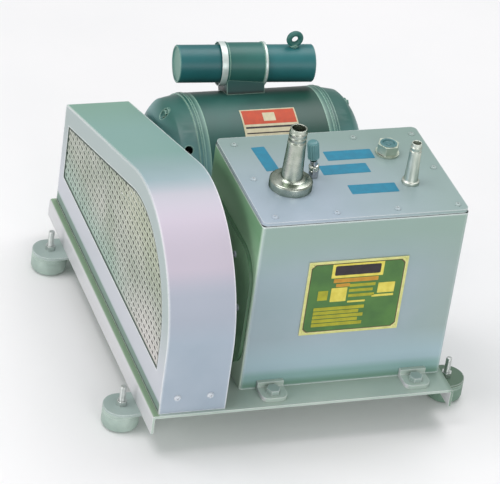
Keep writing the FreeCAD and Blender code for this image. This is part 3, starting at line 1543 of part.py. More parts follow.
def capacitor():
    """Canister with rolled ends, held in a banded collar on a saddle behind the motor's crest."""
    end, floor = "can_length / 2", "(can_length / 2 - can_rim)"
    lip = "can_radius - can_rim"
    canister = along_canister("capacitor_canister", [
        ("-" + end, "can_radius"), (end, "can_radius"), (end, lip), (floor, lip), (floor, "0"),
        ("-" + floor, "0"), ("-" + floor, lip), ("-" + end, lip)])
    keep(canister, "capacitor_canister")
    left, right = "collar_shift - collar_length / 2", "collar_shift + collar_length / 2"
    bore = "can_radius + seat_gap"
    outer = bore + " + collar_wall"
    band = outer + " + collar_band_wall"
    collar = along_canister("collar", [
        (left, bore), (left, band), (left + " + collar_left_band", band),
        (left + " + collar_left_band", outer), (right + " - collar_right_band", outer),
        (right + " - collar_right_band", band), (right, band), (right, bore)])
    room = along_canister("collar_room", [(left, "0"), (left, bore), (right, bore), (right, "0")])
    saddle = swing(new_body("saddle", "can_x", "motor_y", "motor_z"), Vector(-1, 0, 0), "can_tilt")
    plan = sketch(saddle, "XY_Plane", "motor_bore")
    rectangle(plan, "collar_shift - saddle_length / 2", "-saddle_depth / 2",
              "collar_shift + saddle_length / 2", "saddle_depth / 2")
    pad(saddle, plan, "can_distance - motor_bore")
    seat = rod("saddle_seat", "X", ("motor_left", "motor_y", "motor_z"), "motor_radius + seat_gap",
               "motor_length")
    keep(cut("capacitor_bracket", fuse("bracket_blank", collar, saddle), room, seat), "capacitor_bracket")


def canister_eye():
    """Thick round eye on a short shank, on top of the canister."""
    ring = doc.addObject("Part::Torus", "eye_ring")
    tie(ring, "Radius1", "eye_radius")
    tie(ring, "Radius2", "eye_wire")
    ring.Placement.Rotation = FreeCAD.Rotation(Vector(1, 0, 0), 90)
    x = "can_x + eye_shift * cos(can_skew)"
    y = "can_y - eye_shift * sin(can_skew)"
    foot = "can_z + can_radius + seat_gap"
    place(ring, x, y, foot + " + eye_shank_length + eye_radius + eye_wire / 2")
    shank = rod("eye_shank", "Z", (x, y, foot), "eye_shank_radius", "eye_shank_length")
    keep(fuse("canister_eye", ring, shank), "canister_eye")


def cable_gland():
    """Empty cable gland, screwed into the rear end shield."""
    x, y, z = "motor_right + shield_depth", "motor_y", "motor_z - gland_circle"
    nut = hexagon("gland_nut", "X", (x, y, z), "gland_flats", "gland_length")
    nose = rod("gland_nose", "X", (x + " + gland_length", y, z), "gland_nose_radius", "gland_nose_length")
    inner = x + " - shield_wall"
    thread = rod("gland_thread", "X", (inner, y, z), "gland_thread_radius - fit_gap", "shield_wall")
    bore = rod("gland_hole", "X", (inner, y, z), "gland_bore",
               "shield_wall + gland_length + gland_nose_length")
    keep(cut("cable_gland", fuse("gland_blank", nut, nose, thread), bore), "cable_gland")


def build():
    """Make every sub-part in turn."""
    base_tray()
    foot_brackets()
    rubber_feet()
    foot_fasteners()
    guard_shell()
    guard_mesh()
    guard_fixings()
    pump_pulley()
    motor_pulley()
    pulley_key("pump_pulley_key", "pump_y", "pump_z")
    pulley_key("motor_pulley_key", "motor_y", "motor_z")
    v_belts()
    oil_tank()
    cover_gasket()
    tank_cover()
    tank_screws()
    tank_lugs()
    tank_nameplate()
    inlet_port()
    ballast_valve()
    filler_plug()
    exhaust_tube()
    side_fittings()
    shaft_seal()
    pump_module()
    motor_frame()
    slide_rails()
    end_shield("drive_end_shield", "motor_left", "-", True)
    end_shield("rear_end_shield", "motor_right", "+", False)
    stator_core()
    motor_rotor()
    motor_fan()
    tie_bolts()
    capacitor()
    canister_eye()
    cable_gland()
    doc.recompute()


def check():
    """Stop on any failed object or broken solid."""
    for obj in doc.Objects:
        if "Invalid" in obj.State or "Error" in obj.State:
            raise RuntimeError("%s has failed: %s" % (obj.Label, obj.State))
    for obj in nodes:
        shape = obj.Shape
        if shape.isNull() or not shape.isValid() or not shape.Solids:
            raise RuntimeError("%s is not a valid solid" % obj.Label)


def write():
    """One file for each sub-part."""
    os.makedirs("parts", exist_ok=True)
    for obj in nodes:
        obj.Shape.exportStep("parts/%s.step" % obj.Label)


build()
check()
write()
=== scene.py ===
"""Looks of a belt-driven rotary vane vacuum pump: enamelled sheet steel, a green motor and turned fittings.

Lengths are in millimetres unless a name says otherwise, in the same frame as the solids: X along the
shafts, Y to the back, Z up. MM turns them to metres.
"""
import json
import math
import bmesh
import bpy
from mathutils import Matrix, Vector


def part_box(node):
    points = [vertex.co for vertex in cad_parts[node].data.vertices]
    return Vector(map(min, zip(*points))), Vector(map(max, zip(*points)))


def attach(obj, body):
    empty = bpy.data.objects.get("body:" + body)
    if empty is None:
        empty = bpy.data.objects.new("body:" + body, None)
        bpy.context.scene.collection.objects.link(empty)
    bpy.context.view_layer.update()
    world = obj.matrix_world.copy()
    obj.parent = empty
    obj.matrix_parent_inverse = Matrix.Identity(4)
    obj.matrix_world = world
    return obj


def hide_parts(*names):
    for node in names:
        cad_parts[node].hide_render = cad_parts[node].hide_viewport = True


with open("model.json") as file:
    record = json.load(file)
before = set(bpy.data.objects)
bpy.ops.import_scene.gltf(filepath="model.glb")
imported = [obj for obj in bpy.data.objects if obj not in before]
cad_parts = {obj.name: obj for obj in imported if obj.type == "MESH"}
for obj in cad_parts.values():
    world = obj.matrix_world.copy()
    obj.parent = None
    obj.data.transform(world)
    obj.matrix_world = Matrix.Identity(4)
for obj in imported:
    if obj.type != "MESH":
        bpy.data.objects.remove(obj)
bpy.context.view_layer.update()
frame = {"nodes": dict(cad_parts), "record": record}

MM = 0.001
X, Y, Z = Vector((1, 0, 0)), Vector((0, 1, 0)), Vector((0, 0, 1))


def linear(code):
    """sRGB hex colour as linear values, fully opaque."""
    parts = [int(code[i:i + 2], 16) / 255 for i in (1, 3, 5)]
    return tuple(c / 12.92 if c <= 0.04045 else ((c + 0.055) / 1.055) ** 2.4 for c in parts) + (1.0,)


def corners(node):
    """A solid's lowest and highest corners in mm."""
    low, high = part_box(node)
    return Vector(low) / MM, Vector(high) / MM


def middle(node):
    """Middle of a solid's box."""
    low, high = corners(node)
    return (low + high) / 2


def centred(node, height):
    """Point at a height, on the upright line through a solid's middle."""
    spot = middle(node)
    return Vector((spot.x, spot.y, height))


# Places, read from the solids

guard_low, guard_high = corners("guard_shell")
tank_low, tank_high = corners("oil_tank")
plate_low, plate_high = corners("tank_nameplate")
frame_low, frame_high = corners("motor_frame")
cover_top = corners("tank_cover")[1].z
motor_axis = middle("motor_shaft")
shell_radius = frame_high.y - motor_axis.y
inlet_foot = centred("inlet_port", cover_top)
exhaust_foot = centred("exhaust_tube", cover_top)
canister_middle = middle("capacitor_canister")
CANISTER_SKEW = math.radians(4.9)
canister_way = Vector((math.cos(CANISTER_SKEW), -math.sin(CANISTER_SKEW), 0))


# Camera at the photograph's place and angle, with its place in metres

CAMERA_PLACE = (-1.3830, -3.3399, 2.4621)
BEARING, TILT, ROLL = math.radians(-22.437), math.radians(32.688), math.radians(8.421)
LENS, SENSOR_WIDTH = 221.84, 36
FARTHEST = 60


def photo_camera():
    """Long-lens camera turned by its bearing, its tilt and a slight roll."""
    back = Vector((math.sin(BEARING) * math.cos(TILT), -math.cos(BEARING) * math.cos(TILT), math.sin(TILT)))
    right = Vector((math.cos(BEARING), math.sin(BEARING), 0))
    up = back.cross(right)
    across = right * math.cos(ROLL) + up * math.sin(ROLL)
    along = up * math.cos(ROLL) - right * math.sin(ROLL)
    data = bpy.data.cameras.new("photo_camera")
    data.sensor_width = SENSOR_WIDTH
    data.lens = LENS
    data.clip_end = FARTHEST
    camera = bpy.data.objects.new("photo_camera", data)
    turn = Matrix((across, along, back)).transposed().to_4x4()
    camera.matrix_world = Matrix.Translation(CAMERA_PLACE) @ turn
    bpy.context.scene.collection.objects.link(camera)
    bpy.context.scene.camera = camera


photo_camera()


# How the surfaces are built up

# Clouds run from the deep colour to the pale one between the two ends. A face turns one way between the two
# facing values, and an edge takes its edge colour where the rounded normal leaves the true one: rubbed wear
# on most finishes, a painted highlight along the edges of some, and a painted shadow line along the edges of
# one.
DEEP_END, PALE_END = 0.35, 0.65
FACING_START, FACING_FULL = 0.5, 0.8
EDGE_MARK_START, EDGE_MARK_FULL = 0.995, 0.9
EDGE_SAMPLES = 4
CLOUD_DETAIL, GRAIN_DETAIL = 5.0, 2.0
SHEEN_SWING = 0.06
COAT_ROUGHNESS = 0.14

# Dry ink's roughness, and the rubbed edge of a bare metal
INK_ROUGHNESS = 0.55
BRIGHT_EDGE = ("#F2F2EE", 0.8, 0.5)

# Size of the clouds in each kind of surface, in mm
ENAMEL_CLOUD, METAL_CLOUD, MOULDED_CLOUD, INK_CLOUD = 90, 14, 25, 9

# Size and depth of each grain in mm. A dot of the picture covers about 1.4 mm, so all three are too fine to
# show: orange peel is really about 1 mm, tool marks 0.15 mm and moulded grain 0.2 mm. They are drawn coarser,
# until they just show as an uneven gloss.
ORANGE_PEEL = (2.2, 0.05)
TOOL_MARKS = (1.2, 0.03)
MOULDED_GRAIN = (0.8, 0.05)


def add(tree, kind, settings=None, links=None):
    """Add one shader node with its settings and its links. Stops are a ramp's two places and colours."""
    node = tree.nodes.new(kind)
    for name, value in (settings or {}).items():
        if name == "stops":
            for element, (position, code) in zip(node.color_ramp.elements, value):
                element.position, element.color = position, linear(code)
        elif isinstance(name, int) or name in node.inputs:
            node.inputs[name].default_value = value
        else:
            setattr(node, name, value)
    for name, socket in (links or {}).items():
        tree.links.new(socket, node.inputs[name])
    return node


def coated(name, pale, deep, cloud_mm, roughness, metallic=0.0, coat=0.0, edge_wear_and_light=None, tints=(), grain=None,
           edge_tone=None):
    """Material with mottled colour, tints by place, coloured edges, grain and sheen; most tints and some edge
    colours are painted light and shade.

    cloud_mm is the size of the colour's clouds. Edges take (colour, width in mm, amount): rubbed wear on most
    finishes, a painted highlight on some and a painted shadow line on one. A tint is (colour, amount, facing
    axis or "", and (axis, start, end) ramps in mm); most tints paint in light and shade. grain is (size in
    mm, depth in mm). edge_tone is the colour of the gloss that a turned metal shows towards its outline.
    """
    material = bpy.data.materials.new(name)
    material.use_nodes = True
    tree = material.node_tree
    shader = tree.nodes["Principled BSDF"]
    shader.inputs["Metallic"].default_value = metallic
    shader.inputs["Coat Weight"].default_value = coat
    shader.inputs["Coat Roughness"].default_value = COAT_ROUGHNESS
    if edge_tone:
        shader.inputs["Specular Tint"].default_value = linear(edge_tone)
    place = add(tree, "ShaderNodeTexCoord").outputs["Object"]
    surface = add(tree, "ShaderNodeNewGeometry").outputs["Normal"]
    cloud = add(tree, "ShaderNodeTexNoise", {"Scale": 1 / (cloud_mm * MM), "Detail": CLOUD_DETAIL},
                {"Vector": place})
    colour = add(tree, "ShaderNodeValToRGB", {"stops": [(DEEP_END, deep), (PALE_END, pale)]},
                 {"Fac": cloud.outputs[0]}).outputs[0]
    parts = add(tree, "ShaderNodeSeparateXYZ", links={"Vector": place})
    faces = add(tree, "ShaderNodeSeparateXYZ", links={"Vector": surface})
    for tint, amount, facing, ramps in tints:
        limits = [(start * MM, end * MM, parts.outputs[axis]) for axis, start, end in ramps]
        if facing:
            sign = -1 if facing[0] == "-" else 1
            limits.append((sign * FACING_START, sign * FACING_FULL, faces.outputs[facing[-1]]))
        share = None
        for start, end, value in limits:
            ramp = add(tree, "ShaderNodeMapRange", {"From Min": start, "From Max": end}, {"Value": value})
            factors = {0: ramp.outputs[0]}
            if share:
                factors[1] = share.outputs[0]
            share = add(tree, "ShaderNodeMath", {"operation": "MULTIPLY", 1: amount}, factors)
        colour = add(tree, "ShaderNodeMix", {"data_type": "RGBA", 7: linear(tint)},
                     {0: share.outputs[0], 6: colour}).outputs[2]
    if edge_wear_and_light:
        edge_colour, width, amount = edge_wear_and_light
        rounding = add(tree, "ShaderNodeBevel", {"samples": EDGE_SAMPLES, "Radius": width * MM})
        bend = add(tree, "ShaderNodeVectorMath", {"operation": "DOT_PRODUCT"},
                   {0: rounding.outputs[0], 1: surface})
        edge = add(tree, "ShaderNodeMapRange", {"From Min": EDGE_MARK_START, "From Max": EDGE_MARK_FULL, "To Max": amount},
                   {"Value": bend.outputs["Value"]})
        colour = add(tree, "ShaderNodeMix", {"data_type": "RGBA", 7: linear(edge_colour)},
                     {0: edge.outputs[0], 6: colour}).outputs[2]
    tree.links.new(colour, shader.inputs["Base Color"])
    sheen = add(tree, "ShaderNodeMapRange",
                {"To Min": roughness - SHEEN_SWING, "To Max": roughness + SHEEN_SWING},
                {"Value": cloud.outputs[0]})
    tree.links.new(sheen.outputs[0], shader.inputs["Roughness"])
    if grain:
        size, depth = grain
        height = add(tree, "ShaderNodeTexNoise", {"Scale": 1 / (size * MM), "Detail": GRAIN_DETAIL},
                     {"Vector": place})
        bump = add(tree, "ShaderNodeBump", {"Distance": depth * MM}, {"Height": height.outputs[0]})
        tree.links.new(bump.outputs[0], shader.inputs["Normal"])
    return material


def enamel(name, pale, deep, roughness=0.36, coat=0.12, edge_wear_and_light=("#E6EAE8", 1.6, 0.75), tints=(), metallic=0.0):
    """Sprayed enamel on steel or iron: cloudy tone, satin gloss, orange peel and edges rubbed pale, unless
    other edge colours are given.
    """
    return coated(name, pale, deep, ENAMEL_CLOUD, roughness, metallic, coat, edge_wear_and_light, tints, ORANGE_PEEL)


def bare_metal(name, pale, deep, roughness, edge_tone=None):
    """Machined or plated metal: small changes of tone, tool marks and bright edges."""
    return coated(name, pale, deep, METAL_CLOUD, roughness, 1.0, 0.0, BRIGHT_EDGE, (), TOOL_MARKS, edge_tone)


def moulded(name, pale, deep, roughness, edge_wear_and_light=None, tints=()):
    """Moulded rubber, plastic or pressed sheet with a fine matt grain."""
    return coated(name, pale, deep, MOULDED_CLOUD, roughness, edge_wear_and_light=edge_wear_and_light, tints=tints, grain=MOULDED_GRAIN)


def printed(name, pale, deep, blotch_mm=INK_CLOUD):
    """Ink or film on thin plate: even matt colour with the faint mottle of worn ink."""
    return coated(name, pale, deep, blotch_mm, INK_ROUGHNESS)


# Materials of the slots, each with what it is and what that gives the eye

finishes = {
    # Silver-grey enamel, sprayed: a cool satin skin with faint clouds
    "grey_enamel": enamel("sprayed_grey_enamel", "#9DB0A8", "#8DA39B"),
    # Machine enamel sprayed on cast iron: deep green, duller, with painted shade darkening it to the right,
    # and edges rubbed pale
    "green_enamel": enamel(
        "sprayed_green_enamel", "#2C6158", "#24524A", 0.42, 0.0, ("#9CC4AE", 1.8, 0.85), [
            ("#1B4A3C", 0.8, "", [("X", 20, 120)])]),
    # Ground steel: nearly neutral, with sharp highlights
    "bright_steel": bare_metal("ground_steel", "#B9BBBD", "#A2A5A8", 0.25),
    # Zinc-plated steel: pale, with a softer gloss than ground steel
    "zinc_steel": bare_metal("zinc_plated_steel", "#D6DBD8", "#BDC3C0", 0.34),
    # Machined grey iron: dark, with a blurred gloss
    "grey_iron": bare_metal("machined_grey_iron", "#6F7476", "#54595B", 0.45),
    # Core sheets, stamped and stacked: darker and duller still
    "core_iron": bare_metal("stamped_core_steel", "#585C60", "#43474B", 0.5),
    # Brass, turned and nickel plated: warm white highlights and a green grey outline
    "nozzle_metal": bare_metal("nickel_plated_brass", "#D9DDD0", "#BCC4B4", 0.24, "#4E6356"),
    # Aluminium, as cast: light grey without a clear reflection
    "fan_metal": bare_metal("cast_aluminium", "#A9ABAD", "#8F9294", 0.5),
    # Copper wire, wound and varnished: brown orange with wet highlights
    "copper_wire": bare_metal("varnished_copper_wire", "#9A5A36", "#7C4427", 0.35),
    # Bearing bronze, turned: dull gold
    "bronze": bare_metal("turned_bearing_bronze", "#B0823F", "#946A30", 0.35),
    # Brass sheet, stamped and lacquered: pale yellow, half metal and half paint to the eye
    "gold_plate": coated("lacquered_stamped_brass", "#DAD98E", "#C6C878", 12, 0.38, 0.35, 0.1,
                         ("#F0EFC8", 0.8, 0.8), (), TOOL_MARKS),
    # Belt rubber, moulded on cord: black and matt
    "black_rubber": moulded("moulded_belt_rubber", "#26282A", "#191B1C", 0.75),
    # Buffer rubber, moulded and oversprayed: grey green, satin, with painted shade darkening the buffers
    # under the tray's right end
    "foot_rubber": moulded("oversprayed_buffer_rubber", "#B0C2B8", "#98ACA2", 0.5, ("#C6D6CC", 2.0, 0.9),
                           [("#6A8876", 0.95, "", [("X", 170, 200)])]),
    # Gasket fibre, pressed and oil soaked: dark and dull
    "gasket_sheet": moulded("pressed_gasket_fibre", "#3C4644", "#2E3836", 0.8),
    # Phenolic resin, moulded: blue green and glossy, with pale worn flutes
    "dark_plastic": moulded("moulded_phenolic", "#5E8E90", "#48777A", 0.3, ("#A9CFCB", 1.0, 0.6)),
    # Cloth laminate, pressed with resin: brown and matt
    "vane_plastic": moulded("pressed_cloth_laminate", "#5F4129", "#4B321E", 0.6),
    # Acrylic, polished: clear and glossy, with the straw tint that oil leaves
    "clear_glass": coated("polished_clear_acrylic", "#E4DDB4", "#D9CF9A", 18, 0.12, coat=0.5),
}
ACRYLIC_IOR, CLEARNESS = 1.49, 0.7
clear = finishes["clear_glass"].node_tree.nodes["Principled BSDF"]
clear.inputs["Transmission Weight"].default_value = CLEARNESS
clear.inputs["IOR"].default_value = ACRYLIC_IOR

# Enamels of single pieces, whose tints follow the drift of tone that the photograph shows over a large face
# Most of these tints are painted light and shade: painted highlights, painted reflections, painted shade and
# painted shadow lines.

# Enamel with aluminium flake, sprayed on the guard: matt silver, with a painted lilac highlight on the bend,
# a band of painted shade under it, painted sea-green shade toward the rear, a broad painted highlight along
# the folds, its left side painted lighter as lit, and painted shade with a dark painted shadow line where the
# side meets the tray
guard_enamel = enamel(
    # the edge colour is a broad painted highlight along the folds
    "sprayed_flake_enamel_guard", "#ABB8C4", "#A0AFBC", 0.58, 0.05, ("#F4F6F5", 3.6, 0.85), metallic=0.2,
    tints=[
        # painted lilac highlight across the bend
        ("#C6BDC9", 0.9, "", [("Z", 205, 255), ("Y", -96, -128)]),
        # painted shade in a band under the highlight
        ("#A6AEBA", 0.9, "", [("Z", 262, 232), ("Z", 172, 205), ("Y", -112, -158)]),
        # painted sea-green shade toward the rear, deeper at the back
        ("#86ACA4", 1.0, "", [("Y", -170, 10)]),
        ("#80A892", 0.7, "", [("Y", 120, 265)]),
        # left side painted lighter above its foot as lit, greener higher up
        ("#C6CAD0", 1.0, "-X", [("Z", 70, 80)]),
        ("#A6B5B2", 0.9, "-X", [("Z", 110, 200)]),
        # painted shade at the side's foot, and a dark painted shadow line along the tray
        ("#7E958B", 1.0, "-X", [("Z", 77, 75)]),
        ("#43524A", 0.95, "-X", [("Z", 65, 63)])])
# Sprayed enamel on the tank: blue grey in front, greener toward its top, with a broad painted highlight along
# its edges; painted shade greens the front to the right and bands its foot, the front's lower part is painted
# lighter against its shade, and the left wall in the shaded gap is painted green and lighter downward
tank_enamel = enamel(
    # the edge colour is a broad painted highlight along the tank's edges
    "sprayed_enamel_tank", "#9BADB5", "#93A8AE", edge_wear_and_light=("#E8F0EF", 5.0, 1.0), tints=[
        # painted shade greening the front toward its right end
        ("#93A89C", 0.6, "-Y", [("X", 120, 205)]),
        # greener toward the top
        ("#8FA99E", 0.9, "", [("Z", 235, 300)]),
        # painted light: the front's lower part lighter against its shade
        ("#9FBAC2", 0.9, "-Y", [("Z", 140, 100)]),
        # painted shade in bands along the foot
        ("#86ABA6", 0.9, "", [("Z", 90, 80)]),
        ("#6E9480", 0.85, "", [("Z", 74, 66)]),
        # left wall in the shaded gap: painted green, and painted lighter downward where the gap is darkest
        ("#76A37C", 1.0, "-X", []),
        ("#B9E0BC", 1.0, "-X", [("Z", 300, 220)]),
        ("#E6FBE6", 0.9, "-X", [("Z", 210, 130)])])
# Sprayed enamel on the foot plates: grey green, with painted shade darkening their right end
bracket_enamel = enamel(
    "sprayed_enamel_foot_plates", "#A4B6B0", "#95A8A2", tints=[
        ("#58755F", 1.0, "", [("X", 200, 206)])])
# Sprayed and wiped enamel on the cover: glossier than the tank, blue in front, with painted shade making it
# greener to the rear right
cover_enamel = enamel(
    "wiped_enamel_cover", "#A4B4C0", "#9AACB6", 0.3, 0.35, tints=[
        ("#8EA6A0", 0.9, "", [("X", 20, 190)]),
        ("#809A90", 0.8, "", [("Y", -150, -30)])])
# Sprayed enamel on the tray: pale green, with painted shade greening its top at both ends and darkening its
# right edge, and its left side painted lighter silver as lit
tray_enamel = enamel(
    "sprayed_enamel_tray", "#B3C4B9", "#A6B9AE", tints=[
        ("#8BA397", 0.8, "Z", [("X", 175, 200)]),
        ("#66826F", 0.9, "", [("X", 206, 214)]),
        ("#86A184", 1.0, "Z", [("X", -204, -206)]),
        ("#CACCCD", 1.0, "-X", [])])
# Thin enamel on the seal's cast housing: light green, painted light so that it looks lit in the shaded gap,
# with a painted shadow line along its edges and painted shade on its faces in front and on top
flange_enamel = enamel(
    "thin_enamel_seal_housing", "#A2D4A6", "#94C89A", 0.45, 0.0, ("#33523F", 2.2, 0.95), tints=[
        ("#44684B", 1.0, "-Y", []),
        ("#44684B", 1.0, "Z", [])])
# Dipped enamel on the expanded sheet: warm grey low in front, yellow green above and blue green to the rear
mesh_enamel = enamel(
    "dipped_enamel_mesh", "#B9BDB3", "#A0AA9A", 0.5, 0.0, None, tints=[
        ("#BAC09A", 0.3, "", [("Z", 190, 250), ("Y", 60, -60)]),
        ("#9DB8AC", 0.7, "", [("Z", 170, 120), ("Y", -150, 0)]),
        ("#CFCCC8", 0.8, "", [("Z", 190, 130), ("Y", -40, -160)])])
# Strap steel, rolled and lacquered: a smooth pale band
strap_steel = coated("lacquered_rolled_strap", "#DCE8E2", "#C6D6D0", METAL_CLOUD, 0.34, 0.3, 0.2,
                     ("#F4F8F6", 0.8, 0.6))
# Sprayed enamel on the drawn can: blue green with pale rims, its left end painted lighter as lit and its
# underside painted dark as shade
canister_enamel = enamel(
    "sprayed_enamel_canister", "#2A7476", "#226466", 0.42, 0.0, ("#A6C8BC", 1.8, 0.8), tints=[
        ("#31504E", 0.8, "", [("Z", 298, 284)]),
        ("#5F9080", 0.9, "-X", [])])
# Sprayed enamel on the folded saddle and the forged eye: green, with painted shade darkening it downward to
# nearly black at the saddle's foot
saddle_enamel = enamel(
    "sprayed_enamel_saddle", "#2F6E66", "#28625A", 0.42, 0.0, ("#A6CDB8", 1.8, 0.9), tints=[
        ("#31504E", 0.8, "", [("Z", 300, 282)]),
        ("#202D29", 1.0, "", [("Z", 279, 275)])])
# Sprayed enamel on the cast end shields: green, with rims paled by wear and by a painted highlight, and a
# painted pale blue reflection lightening them below
shield_enamel = enamel(
    "sprayed_enamel_end_shields", "#376C63", "#2E5E55", 0.4, 0.0, ("#A6CDB8", 2.2, 0.9), tints=[
        ("#7DAEB0", 0.8, "", [("Z", 262, 225)])])

# Metals and rubber of single pieces

# Turned brass, nickel plated: clear highlights and a dark green outline
inlet_nickel = bare_metal("nickel_plated_inlet", "#C2C8BC", "#A8B2A4", 0.27, "#4E6356")
# The same plating, worn: paler, with a softer outline
exhaust_nickel = bare_metal("worn_nickel_exhaust", "#E2E6DC", "#CED6CA", 0.4, "#7F9686")
# Plug steel, milled and zinc plated: soft gloss with a green cast
plug_steel = bare_metal("zinc_plated_plug", "#CDD6C6", "#B6C4B2", 0.5)
# Window edging, extruded rubber: a dull dark line, which also stands in for the shade in the gap between
# sheet and mesh
window_rubber_and_shade = moulded("extruded_window_rubber", "#46564C", "#38483F", 0.7)

# Plain printed colours: blue film on the cover, and inks on the two plates

blue_label = printed("printed_blue_film", "#12829F", "#107894")
red_print = printed("red_ink", "#C94B22", "#BB431F")
cream_print = printed("cream_ink", "#D6CFAE", "#C6C09C")
green_print = printed("green_ink", "#4E7C3A", "#406C34", 30)
umber_print = printed("umber_ink", "#5E4C2C", "#524226")
lime_print = printed("lime_ink", "#AEAC24", "#98981E", 12)
yellow_print = printed("yellow_ink", "#E2D660", "#D4C64C")
orange_print = printed("orange_ink", "#C8952C", "#B88428")
black_print = printed("black_ink", "#2E242A", "#241B20")

# Slot and body of each solid

node_slot = {part["node"]: part["material_slot"] for part in frame["record"]["subparts"]}
node_body = {node: body for body, members in frame["record"]["behaviour"]["bodies"].items()
             for node in members}


# Ways to make and finish a piece

# Faces join up within FLAT_ANGLE, a profile's corner is rounded from BLUNT_ANGLE on, and an edge is broken
# and shaded as a corner from SHARP_ANGLE on
FLAT_ANGLE, BLUNT_ANGLE, SHARP_ANGLE = math.radians(0.5), math.radians(20), math.radians(32)

# Part of the whole width that the lesser edges get, and longest rounding as part of a profile's side
FINE_SHARE, LONGEST_ROUNDING = 0.2, 0.4
CURVE_STEPS = 3

# Corners closer than this become one, in metres: of a solid, of a turned piece, and of the mesh panel
SOLID_MERGE, TURNED_MERGE, MESH_MERGE = 1e-6, 1e-7, 1e-5


def settle(piece, slot, body="base", nodes=(), finish=None):
    """Give a finished piece its finish, its body and the solids that it stands for."""
    piece.data.materials.clear()
    piece.data.materials.append(finish or finishes[slot])
    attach(piece, body)
    if nodes:
        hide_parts(*nodes)
    return piece


def smooth(piece):
    """Smooth shading with sharp corners kept."""
    piece.data.shade_smooth()
    piece.data.set_sharp_from_angle(angle=SHARP_ANGLE)


def new_piece(name, shape, face_out=True):
    """Scene object from a finished shape, with its faces turned outward."""
    if face_out:
        bmesh.ops.recalc_face_normals(shape, faces=shape.faces)
    mesh = bpy.data.meshes.new(name)
    shape.to_mesh(mesh)
    shape.free()
    piece = bpy.data.objects.new(name, mesh)
    bpy.context.scene.collection.objects.link(piece)
    return piece


def softened(node, edge_mm, segments=2, finish=None, wide=None):
    """Copy of a solid with its flat faces joined up and its sharp corners broken.

    wide picks the edges that get the whole width, by their two ends in mm; the others get a fifth.
    """
    shape = bmesh.new()
    shape.from_mesh(frame["nodes"][node].data)
    bmesh.ops.remove_doubles(shape, verts=shape.verts, dist=SOLID_MERGE)
    bmesh.ops.dissolve_limit(shape, angle_limit=FLAT_ANGLE, verts=shape.verts, edges=shape.edges)
    if wide:
        weight = shape.edges.layers.float.new("bevel_weight_edge")
        for edge in shape.edges:
            sharp = len(edge.link_faces) == 2 and edge.calc_face_angle(0) > SHARP_ANGLE
            full = wide(edge.verts[0].co / MM, edge.verts[1].co / MM)
            edge[weight] = (1.0 if full else FINE_SHARE) if sharp else 0.0
    piece = new_piece(node + "_dressed", shape, face_out=False)
    bend = piece.modifiers.new("broken_edges", "BEVEL")
    bend.width = edge_mm * MM
    bend.segments = segments
    bend.limit_method = "WEIGHT" if wide else "ANGLE"
    bend.angle_limit = SHARP_ANGLE
    smooth(piece)
    return settle(piece, node_slot[node], node_body[node], [node], finish)


def rounded(profile, edge, closed):
    """Profile with its sharp corners turned into short curves."""
    points = [Vector(point) for point in profile]
    result = []
    for index, here in enumerate(points):
        back, ahead = points[index - 1] - here, points[(index + 1) % len(points)] - here
        at_end = not closed and index in (0, len(points) - 1)
        if at_end or math.pi - back.angle(ahead) < BLUNT_ANGLE:
            result.append(here)
            continue
        reach = min(edge, back.length * LONGEST_ROUNDING, ahead.length * LONGEST_ROUNDING)
        first, last = here + back.normalized() * reach, here + ahead.normalized() * reach
        for step in range(CURVE_STEPS + 1):
            t = step / CURVE_STEPS
            result.append(first * (1 - t) ** 2 + here * 2 * t * (1 - t) + last * t ** 2)
    return result


def skin(shape, rows, back_to_first=False):
    """Faces between each row of corners and the next one."""
    for low, high in zip(rows, rows[1:] + (rows[:1] if back_to_first else [])):
        for step in range(len(low)):
            after = (step + 1) % len(low)
            shape.faces.new((low[step], low[after], high[after], high[step]))


def turned(name, runs, sides=72, edge=0.5, flutes=None):
    """Turned piece of one or more runs: (foot, direction, profile of length and radius).

    flutes is (count, depth, low, high): shallow grips round a stretch of the length.
    """
    shape = bmesh.new()
    for foot, direction, profile in runs:
        axis = Vector(direction).normalized()
        side = axis.orthogonal().normalized()
        other = axis.cross(side)
        closed = profile[0][1] > 0 and profile[-1][1] > 0
        rows = []
        for length, radius in rounded(profile, edge, closed):
            row = []
            for step in range(sides):
                angle = 2 * math.pi * step / sides
                reach = radius
                if flutes and flutes[2] < length < flutes[3]:
                    reach -= flutes[1] * (0.5 + 0.5 * math.cos(flutes[0] * angle))
                spoke = side * math.cos(angle) + other * math.sin(angle)
                row.append(shape.verts.new((Vector(foot) + axis * length + spoke * reach) * MM))
            rows.append(row)
        skin(shape, rows, closed)
    bmesh.ops.remove_doubles(shape, verts=shape.verts, dist=TURNED_MERGE)
    piece = new_piece(name, shape)
    smooth(piece)
    return piece


def prism(shape, rings):
    """Skin over rings of the same count, closed at both ends."""
    rows = [[shape.verts.new(point * MM) for point in ring] for ring in rings]
    skin(shape, rows)
    shape.faces.new(rows[0][::-1])
    shape.faces.new(rows[-1])


def round_cornered(left, low, right, high, radius, inset):
    """Outline of a block with round corners, drawn in by an inset, in the plane of its face."""
    bend = radius - inset
    points = []
    for x, y, start in ((right - radius, high - radius, 0), (left + radius, high - radius, 90),
                        (left + radius, low + radius, 180), (right - radius, low + radius, 270)):
        for degrees in (0, 30, 60, 90):
            angle = math.radians(start + degrees)
            points.append((x + bend * math.cos(angle), y + bend * math.sin(angle)))
    return points


def blocks_on(name, origin, across, up, blocks, lift, thick, radius=1.0):
    """Thin blocks with round corners on a flat face: (left, low, right, high) in the face's own plane."""
    out = across.cross(up)
    wall, chamfer = thick * 0.6, min(thick, radius) * 0.4
    shape = bmesh.new()
    for left, low, right, high in blocks:
        rings = []
        for height, inset in ((lift, 0), (lift + wall, 0), (lift + thick, chamfer)):
            rings.append([origin + across * x + up * y + out * height
                          for x, y in round_cornered(left, low, right, high, radius, inset)])
        prism(shape, rings)
    return new_piece(name, shape)


